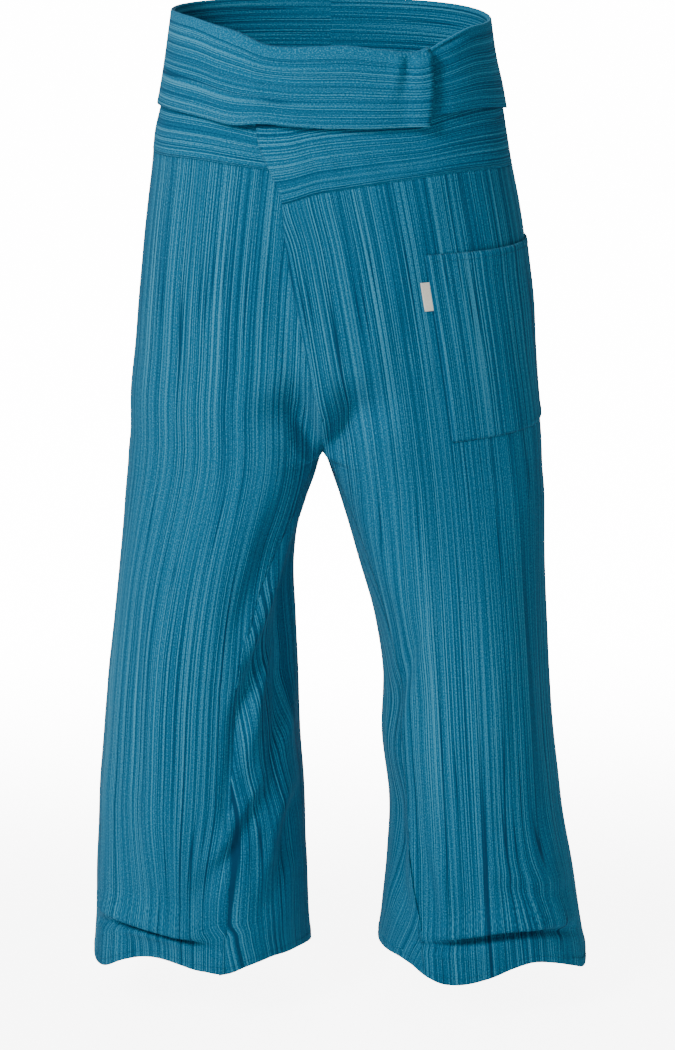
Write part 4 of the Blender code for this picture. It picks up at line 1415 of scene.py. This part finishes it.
    def seams(self, panel: Panel) -> list[Pair]:
        """Runs of stitches just above the band seam, where no layer covers it.

        Args:
            panel: The band's grid.

        Returns:
            Points and normals of each run.
        """
        numbers = np.arange(panel.points.shape[1])
        shown = (numbers[: self.back_steps + self.side_steps + 1],
                 numbers[self.back_steps + self.side_steps + 2 * (self.wrap_steps + 1):])
        share, grids = 0.45, (panel.points, panel.normals)
        return [tuple(grid[0, run] * (1 - share) + grid[1, run] * share for grid in grids) for run in shown]

    def tie(self) -> Panel:
        """The tie: once round the waist between hip and cuff, its flat ends crossed at the front.

        Returns:
            The grid, with its places on the flat cloth.
        """
        rows = []
        for height in np.linspace(self.tie_low, self.tie_top, self.tie_rows):
            free, hidden = self.fold_angles(height)
            first, last = (self.ring_angle(x, height) for x in (-self.tie_ends, self.tie_ends))
            stretches = ((first, hidden, 20), (hidden, 0, 30), (0, 180, 70), (180, free + 360, 30),
                         (free + 360, last + 360, 24))
            angles = np.concatenate([[first], *(self.stops(a, b, n, height)[1:] for a, b, n in stretches)])
            x, y = self.ring_xy(angles, height)
            layer = 1 + (self.tie_layer - 1) * self.wrap_share(x, y, height)
            layer = layer + np.where(angles > 180, ease((x - self.tie_cross) / self.tie_cross_run), 0.0)
            rows.append(self.place(angles, height, layer * LAYER))
        heights = np.linspace(0, self.tie_top - self.tie_low, self.tie_rows)
        return Panel(np.array(rows), self.band_cloth(heights, rows[self.tie_rows // 2]))

    def hip_swell(self, x: Array, y: Array, z: Array, layers: Array) -> Array:
        """Soft unevenness of the hip part: slight ripples by the free fold, and swells all round."""
        swell = soft_noise(x, z * 0.8, 0.035, 5) * 0.00036 * (layers != 1)
        return swell + crease_height(BAND_CREASES, x, y, z) * (layers == 2)

    def cuff_swell(self, x: Array, y: Array, z: Array, layers: Array) -> Array:
        """Soft unevenness of the cuff, and the creases beside the wrap's end.

        Args:
            x: Places across the garment.
            y: Depths.
            z: Heights.
            layers: Which turn of the wrap each place is on.

        Returns:
            How far the cloth stands out at each place.
        """
        swell = soft_noise(x, z * 0.7 + np.sign(y) * 0.5, 0.045, 9) * 0.0011
        below = ease((self.end_top[0] - z) / self.end_top[1]) * (y < 0)
        (out, start, run), (deep, middle, width) = self.end_proud, self.end_sunk
        proud = out * ease((x - start) / run) * below * (layers < 2)
        sunk = -deep * np.exp(-(((x - middle) / width) ** 2)) * below * (layers == 2)
        past = crease_height(PAST_CREASES, x, y, z) * (layers == 2)
        return (swell + crease_height(CUFF_CREASES, x, y, z)) * (layers == 0) + proud + sunk + past


class NodeSketch:
    """Small helper that adds and links shader nodes in one tree."""

    def __init__(self, tree: NodeTree) -> None:
        """Keeps the tree that nodes are added to."""
        self.tree = tree

    def feed(self, socket: NodeSocket, value: object) -> None:
        """Links a socket to a socket, or sets it to a number, a vector or a colour.

        Args:
            socket: The socket to feed.
            value: What it gets.
        """
        if isinstance(value, NodeSocket):
            self.tree.links.new(value, socket)
        else:
            socket.default_value = value

    def fill(self, node: Node, values: dict[str | int, object]) -> Node:
        """Feeds a node's inputs.

        Args:
            node: The node.
            values: What each input gets, by its name or number.

        Returns:
            The same node.
        """
        for name, value in values.items():
            self.feed(node.inputs[name], value)
        return node

    def node(self, kind: str, values: dict[str | int, object] | None = None, **settings: object) -> Node:
        """Adds a node.

        Args:
            kind: Its type, without the words that all shader nodes start with.
            values: Its inputs.
            settings: Its other properties, which are set first.

        Returns:
            The node.
        """
        node = self.tree.nodes.new(f"ShaderNode{kind}")
        for name, value in settings.items():
            setattr(node, name, value)
        return self.fill(node, values or {})

    def math(self, operation: str, *values: object) -> NodeSocket:
        """Output of a Math node, from sockets or numbers in the order of its inputs."""
        return self.node("Math", dict(enumerate(values)), operation=operation).outputs[0]

    def times(self, value: object, factor: object, more: object = None) -> NodeSocket:
        """A product, with something added to it if more is given.

        Args:
            value: The first factor.
            factor: The second factor.
            more: What is added.

        Returns:
            The result's socket.
        """
        if more is None:
            return self.math("MULTIPLY", value, factor)
        return self.math("MULTIPLY_ADD", value, factor, more)

    def noise(self, u: object, v: object, detail: float = 0.0) -> NodeSocket:
        """Noise over two coordinates, each already scaled to the size of one swell.

        Args:
            u: Coordinate across the stripes.
            v: Coordinate along the stripes.
            detail: How much finer noise is mixed in.

        Returns:
            The noise, from 0 to 1.
        """
        join = self.node("CombineXYZ", {0: u, 1: v})
        return self.node("TexNoise", {"Scale": 1.0, "Detail": detail, "Vector": join.outputs[0]},
                         noise_dimensions="2D").outputs["Fac"]

    def between(self, value: object, low: float, high: float) -> NodeSocket:
        """0 below low, 1 above high, smooth between."""
        return self.node("MapRange", {"Value": value, "From Min": low, "From Max": high},
                         interpolation_type="SMOOTHSTEP").outputs[0]

    def blend(self, share: object, first: object, second: object) -> NodeSocket:
        """Mixes two colours."""
        return self.node("Mix", {0: share, 6: first, 7: second}, data_type="RGBA").outputs[2]

    def bump(self, height: object, distance: float) -> NodeSocket:
        """Normal of a surface with fine relief."""
        return self.node("Bump", {"Strength": 0.5, "Distance": distance, "Height": height}).outputs["Normal"]


def new_material(name: str) -> tuple[Material, NodeSketch, Node]:
    """A material, a helper for its nodes, and its shader.

    Args:
        name: The material's name.

    Returns:
        The three, in that order.
    """
    material = bpy.data.materials.new(name)
    material.use_nodes = True
    return material, NodeSketch(material.node_tree), material.node_tree.nodes["Principled BSDF"]


@dataclass(frozen=True)
class StripedCotton:
    """Finish of the striped cloth.

    Attributes:
        dark: Darkest yarn.
        middle: Ground colour.
        light: Lightest yarn.
        sheen: Weight of the soft sheen.
        specular: Strength of the highlights.
        shift: Moves the stripes across, so that two pieces differ.
        plain: Stretch across the stripes that is woven plain, from and to.
    """

    dark: tuple[float, float, float] = (0.0006, 0.046, 0.105)
    middle: tuple[float, float, float] = (0.0040, 0.124, 0.236)
    light: tuple[float, float, float] = (0.060, 0.300, 0.450)
    sheen: float = 0.030
    specular: float = 0.09
    shift: float = 0.0
    plain: tuple[float, float] = (-2.0, -1.9)

    def material(self, name: str, weave: NodeTree) -> Material:
        """Makes the cloth's material.

        Args:
            name: Material's name.
            weave: Node group of the stripes and threads.

        Returns:
            The material.
        """
        material, pen, shader = new_material(name)
        place = pen.node("UVMap", uv_map=UV_NAME)
        group = pen.node("Group", node_tree=weave)
        pen.fill(group, {
            "Cloth": place.outputs["UV"], "Shift": self.shift,
            "Plain from": self.plain[0], "Plain to": self.plain[1],
            "Dark": (*self.dark, 1.0), "Middle": (*self.middle, 1.0), "Light": (*self.light, 1.0),
        })
        pen.fill(shader, {
            "Base Color": group.outputs["Colour"], "Roughness": group.outputs["Roughness"],
            "Normal": pen.bump(group.outputs["Height"], 0.0004), "Specular IOR Level": self.specular,
            "Sheen Weight": self.sheen, "Sheen Roughness": 0.5,
        })
        return material


def striped_weave() -> NodeTree:
    """Node group of the striped cloth: irregular warp stripes, slubs and the threads of a plain weave.

    Returns:
        The group. It takes the place on the cloth in metres and three yarn colours.
    """
    tree = bpy.data.node_groups.new("Striped weave", "ShaderNodeTree")
    for way, kind, names in (
        ("INPUT", "Vector", ("Cloth",)), ("INPUT", "Float", ("Shift", "Plain from", "Plain to")),
        ("INPUT", "Color", ("Dark", "Middle", "Light")), ("OUTPUT", "Color", ("Colour",)),
        ("OUTPUT", "Float", ("Roughness", "Height")),
    ):
        for name in names:
            tree.interface.new_socket(name, in_out=way, socket_type=f"NodeSocket{kind}")
    pen = NodeSketch(tree)
    inside, outside = (tree.nodes.new(kind) for kind in ("NodeGroupInput", "NodeGroupOutput"))
    given = inside.outputs
    across, v = pen.node("SeparateXYZ", {0: given["Cloth"]}).outputs[:2]
    u = pen.math("ADD", across, given["Shift"])

    def swells(width: float, length: float, offset: float, detail: float = 0.0,
               offset_v: float = 0.0) -> NodeSocket:
        """Noise whose swells have a width across the stripes and a length along them."""
        return pen.noise(pen.times(u, 1.0 / width, offset), pen.times(v, 1.0 / length, offset_v), detail)

    def line(size: float, width: float, offset: float) -> NodeSocket:
        """Thin irregular lines along the cloth, 1 on the line.

        Args:
            size: Width of the swells that the lines run between.
            width: How far a line fades.
            offset: Where in the noise the lines are read.

        Returns:
            The lines, from 0 to 1.
        """
        swell = swells(size, 1.4, offset, offset_v=offset)
        away = pen.math("ABSOLUTE", pen.math("SUBTRACT", swell, 0.5))
        return pen.math("SUBTRACT", 1.0, pen.between(away, 0.0, width))

    mid, fine, heather = (pen.math("SUBTRACT", part, 0.5) for part in (
        swells(0.0026, 0.7, 3.1), swells(0.0012, 0.45, 7.7, offset_v=5.0),
        swells(0.0010, 0.0019, 9.1, detail=1.0, offset_v=4.0),
    ))
    dots = pen.between(swells(0.003, 0.0011, 1.0, offset_v=6.0), 0.38, 0.62)
    in_plain = pen.times(pen.math("GREATER_THAN", across, given["Plain from"]),
                         pen.math("LESS_THAN", across, given["Plain to"]))
    striped = pen.math("SUBTRACT", 1.0, in_plain)
    tone = pen.times(fine, 1.80, pen.times(mid, 0.48))
    tone = pen.times(tone, pen.times(striped, 0.85, 0.15))
    tone = pen.times(in_plain, 0.10, pen.times(heather, 1.45, tone))
    bright_line = pen.times(line(0.0052, 0.014, 2.3), pen.times(dots, 0.55, 0.20))
    deep_line = pen.times(line(0.0044, 0.015, 8.2), 0.60, line(0.0074, 0.023, 4.9))
    bright_line, deep_line = (pen.times(part, striped) for part in (bright_line, deep_line))
    light = pen.times(pen.between(tone, 0.0, 0.60), 0.80, bright_line)
    dark = pen.times(pen.between(pen.times(tone, -1.0), 0.0, 0.60), 0.80, deep_line)
    colour = pen.blend(light, given["Middle"], given["Light"])
    thread_u = pen.math("SINE", pen.times(u, 2 * math.pi / 0.00075))
    thread_v = pen.math("SINE", pen.times(v, 2 * math.pi / 0.00085))
    relief = pen.times(pen.times(thread_u, thread_v), 0.30, tone)
    pen.fill(outside, {
        "Colour": pen.blend(pen.math("MINIMUM", dark, 1.0), colour, given["Dark"]),
        "Roughness": pen.times(heather, 0.12, 0.88),
        "Height": pen.times(deep_line, -0.5, relief),
    })
    return tree


@dataclass(frozen=True)
class PlainFinish:
    """Finish of a small piece: ribbon or thread, with a fine weave or twist.

    Attributes:
        colour: First tone.
        second: Second tone.
        roughness: Of the surface.
        size: Size of the noise that mixes the tones.
    """

    colour: tuple[float, float, float]
    second: tuple[float, float, float]
    roughness: float
    size: float

    def material(self, name: str) -> Material:
        """Makes the material.

        Args:
            name: Material's name.

        Returns:
            The material, whose two tones follow a fine noise in the object's own space.
        """
        material, pen, shader = new_material(name)
        place = pen.node("TexCoord").outputs["Object"]
        noise = pen.node("TexNoise", {"Vector": place, "Scale": 1.0 / self.size, "Detail": 2.0})
        swell = noise.outputs["Fac"]
        share = pen.between(swell, 0.35, 0.65)
        pen.fill(shader, {
            "Base Color": pen.blend(share, (*self.colour, 1.0), (*self.second, 1.0)),
            "Normal": pen.bump(swell, 0.0003), "Roughness": self.roughness,
        })
        return material


@dataclass
class Studio:
    """Floor, backdrop, lights and camera.

    Attributes:
        floor: Height of the floor.
        floor_behind: How far it runs behind the garment before it sweeps up.
        floor_front: How far it runs in front of the garment.
        floor_size: Its width, and its length along the sweep.
        bend_radius: Radius of the sweep.
        glow_with_painted_shadow: What the floor gives off for the camera only, near the garment and far from
            it, and from where to where it grows; the lower value near the garment is a painted soft shadow.
        look_at: Point that the lights face.
        camera_place: Where the camera stands.
        camera_pitch: How far it looks down, in degrees.
        lens: Focal length in millimetres on a sensor of sensor_long.
    """

    floor: float = -1.052
    floor_behind: float = 6.5
    floor_front: float = 10.0
    floor_size: tuple[float, float] = (24.0, 22.0)
    bend_radius: float = 1.5
    glow_with_painted_shadow: tuple[float, float, float, float] = (7.0, 15.0, 0.2, 1.4)
    look_at: tuple[float, float, float] = (0.0, 0.0, -0.45)
    camera_place: tuple[float, float, float] = (0.0, -3.5, 0.475)
    camera_pitch: float = 15.6
    lens: float = 114.3
    sensor_long: float = 36.0

    def build(self) -> None:
        """Makes the whole studio."""
        self.backdrop()
        self.lights()
        self.camera()

    def backdrop(self) -> None:
        """A pale floor that sweeps up behind the garment and glows for the camera, less round the garment as
        a painted soft shadow.
        """
        sweep = new_grid("studio_sweep", 2, 110)
        radius = self.bend_radius
        for vertex in sweep.data.vertices:
            run = (vertex.co.y + 0.5) * self.floor_size[1] - self.floor_front
            bend = max(0.0, run - self.floor_behind)
            angle = min(bend / radius, math.pi / 2)
            rise = radius * (1 - math.cos(angle)) + max(0.0, bend - radius * math.pi / 2)
            vertex.co = (vertex.co.x * self.floor_size[0],
                         min(run, self.floor_behind) + radius * math.sin(angle), self.floor + rise)
        material, pen, shader = new_material("Studio white with painted shadow")
        place = pen.node("SeparateXYZ", {0: pen.node("TexCoord").outputs["Object"]})
        seen = pen.node("LightPath").outputs["Is Camera Ray"]
        # Emission that only the camera sees makes the floor show white; it is weaker near the garment, a
        # painted soft shadow round it.
        near, far, start, stop = self.glow_with_painted_shadow
        away = pen.between(pen.math("ABSOLUTE", place.outputs[1]), start, stop)
        pen.fill(shader, {
            "Base Color": (0.93, 0.93, 0.935, 1.0), "Roughness": 0.8, "Emission Color": (1.0, 1.0, 1.0, 1.0),
            "Emission Strength": pen.times(pen.times(away, far - near, near), seen, 0.05),
        })
        sweep.data.materials.append(material)

    def lamp(self, name: str, place: tuple[float, float, float], size: float, power: float) -> None:
        """Adds a square soft light that looks at the garment.

        Args:
            name: Light's name.
            place: Where it hangs.
            size: Width of its square.
            power: In watts.
        """
        data = bpy.data.lights.new(name, "AREA")
        data.shape, data.size, data.energy = "SQUARE", size, power
        lamp = bpy.data.objects.new(name, data)
        bpy.context.scene.collection.objects.link(lamp)
        lamp.location = place
        lamp.rotation_euler = (Vector(self.look_at) - Vector(place)).to_track_quat("-Z", "Y").to_euler()

    def lights(self) -> None:
        """Key from the front left, weak fill from the right, and a bright surround."""
        self.lamp("key_light", (-1.7, -2.1, 1.35), 1.0, 100.0)
        self.lamp("fill_light", (2.4, -2.4, 1.5), 1.6, 12.0)
        self.lamp("back_light", (0.0, 2.0, 2.2), 2.0, 40.0)
        world = bpy.data.worlds.new("Studio surround")
        world.use_nodes = True
        NodeSketch(world.node_tree).fill(world.node_tree.nodes["Background"],
                                         {"Color": (1.0, 1.0, 1.0, 1.0), "Strength": 0.30})
        bpy.context.scene.world = world

    def camera(self) -> None:
        """The camera, at the photograph's height, distance and tilt."""
        data = bpy.data.cameras.new("photo_camera")
        data.sensor_width = self.sensor_long
        data.lens = self.lens
        camera = bpy.data.objects.new("photo_camera", data)
        bpy.context.scene.collection.objects.link(camera)
        camera.location = self.camera_place
        camera.rotation_euler = (math.radians(90.0 - self.camera_pitch), 0.0, 0.0)
        bpy.context.scene.camera = camera


@dataclass
class Pants:
    """The whole garment: its panels, its sewing and how each piece goes with the frame."""

    cotton: StripedCotton = StripedCotton()
    band_cotton: StripedCotton = StripedCotton(shift=0.37, plain=(0.148, 0.158))
    pocket_cotton: StripedCotton = StripedCotton(shift=0.113)
    ribbon: PlainFinish = PlainFinish((0.84, 0.81, 0.70), (0.72, 0.69, 0.58), 0.75, 0.0009)
    # The thread is a darker teal than the cloth: partly its own tone on tone, partly painted shade of the
    # stitch lines.
    cotton_thread: PlainFinish = PlainFinish((0.004, 0.110, 0.205), (0.002, 0.070, 0.140), 0.8, 0.0006)

    def build(self) -> None:
        """Makes every piece."""
        weave = striped_weave()
        cloth = self.cotton.material("Striped cotton legs", weave)
        self.thread = self.cotton_thread.material("Cotton thread with painted shade")
        right, left = LegPanel(Side.RIGHT), LegPanel(Side.LEFT)
        right_panel, left_panel = right.panel(), left.panel()
        self.add(right_panel.build("right_leg_cloth", cloth), right_panel, "right_leg", flat=(0.74, 0.95))
        piece = joined([left_panel.build("left_leg_cloth", cloth),
                        pleat_panel(left_panel, left).build("left_pleat_cloth", cloth)], "left_leg_cloth")
        self.add(piece, left_panel, "left_leg", flat=(0.86, 0.95))
        self.waist(weave)
        self.pocket(weave, left_panel)
        for leg, panel in ((right, right_panel), (left, left_panel)):
            self.sew(f"{leg.side.name.lower()}_hem_stitches", leg.hem_runs(panel))
            self.sew(f"{leg.side.name.lower()}_inseam_stitches", leg.inseam_runs(panel))

    def waist(self, weave: NodeTree) -> None:
        """The waistband, its tie and its stitches.

        Args:
            weave: The group of nodes that draws the stripes.
        """
        band = Waistband()
        cloth = self.band_cotton.material("Striped cotton band", weave)
        panel, tie = band.panel(), band.tie()
        self.add(panel.build("waistband_cloth", cloth), panel, "waistband", flat=(1.28, 0.24))
        self.add(tie.build("tie_cloth", cloth), tie, "tie", flat=(1.00, 0.028))
        self.sew("band_seam_stitches", band.seams(panel))

    def pocket(self, weave: NodeTree, leg: Panel) -> None:
        """The pocket with its stitches, and the label.

        Args:
            weave: The group of nodes that draws the stripes.
            leg: The left leg's grid.
        """
        pocket = Pocket(leg)
        panel, label = pocket.panel(), Label(leg).panel()
        cloth = self.pocket_cotton.material("Striped cotton pocket", weave)
        self.add(panel.build("pocket_cloth", cloth), panel, "pocket", flat=(0.190, 0.212),
                 rests_on=["left_leg_cloth"])
        self.sew("pocket_stitches", [panel.at(*seam) for seam in pocket.seams()])
        self.add(label.build("label_ribbon", self.ribbon.material("Label ribbon")), label, "label",
                 flat=(0.0110, 0.0304), rests_on=["left_leg_cloth"], slot="label_ribbon")

    def place(self, piece: Object, slot: str) -> None:
        """Puts a piece on the garment's body and logs its faces.

        Args:
            piece: The piece.
            slot: Not used.
        """
        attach(piece, "root")
        LOG.info("%s: %d faces", piece.name, len(piece.data.polygons))

    def add(self, piece: Object, panel: Panel, node: str, flat: tuple[float, float],
            rests_on: Sequence[str] = (), slot: str = "striped_cotton") -> None:
        """Puts a sheet of cloth in its solid's stead, and logs its widths and lengths.

        Args:
            piece: The sheet.
            panel: Its grid.
            node: The solid that it replaces.
            flat: Not used.
            rests_on: Not used.
            slot: Its material slot.
        """
        self.place(piece, slot)
        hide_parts(node)
        across, down = (np.linalg.norm(np.diff(panel.points, axis=axis), axis=2).sum(axis=axis)
                        for axis in (1, 0))
        LOG.info("%s: %.3f to %.3f wide, %.3f to %.3f long", piece.name, across.min(), across.max(),
                 down.min(), down.max())

    def sew(self, name: str, runs: Sequence[Pair]) -> None:
        """Makes the stitches of one seam."""
        self.place(Thread().sew(name, runs, self.thread), "striped_cotton")


def main() -> None:
    """Builds the studio and the garment."""
    logging.basicConfig(level=logging.INFO)
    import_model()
    Studio().build()
    Pants().build()
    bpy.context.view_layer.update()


if __name__ == "__main__":
    main()
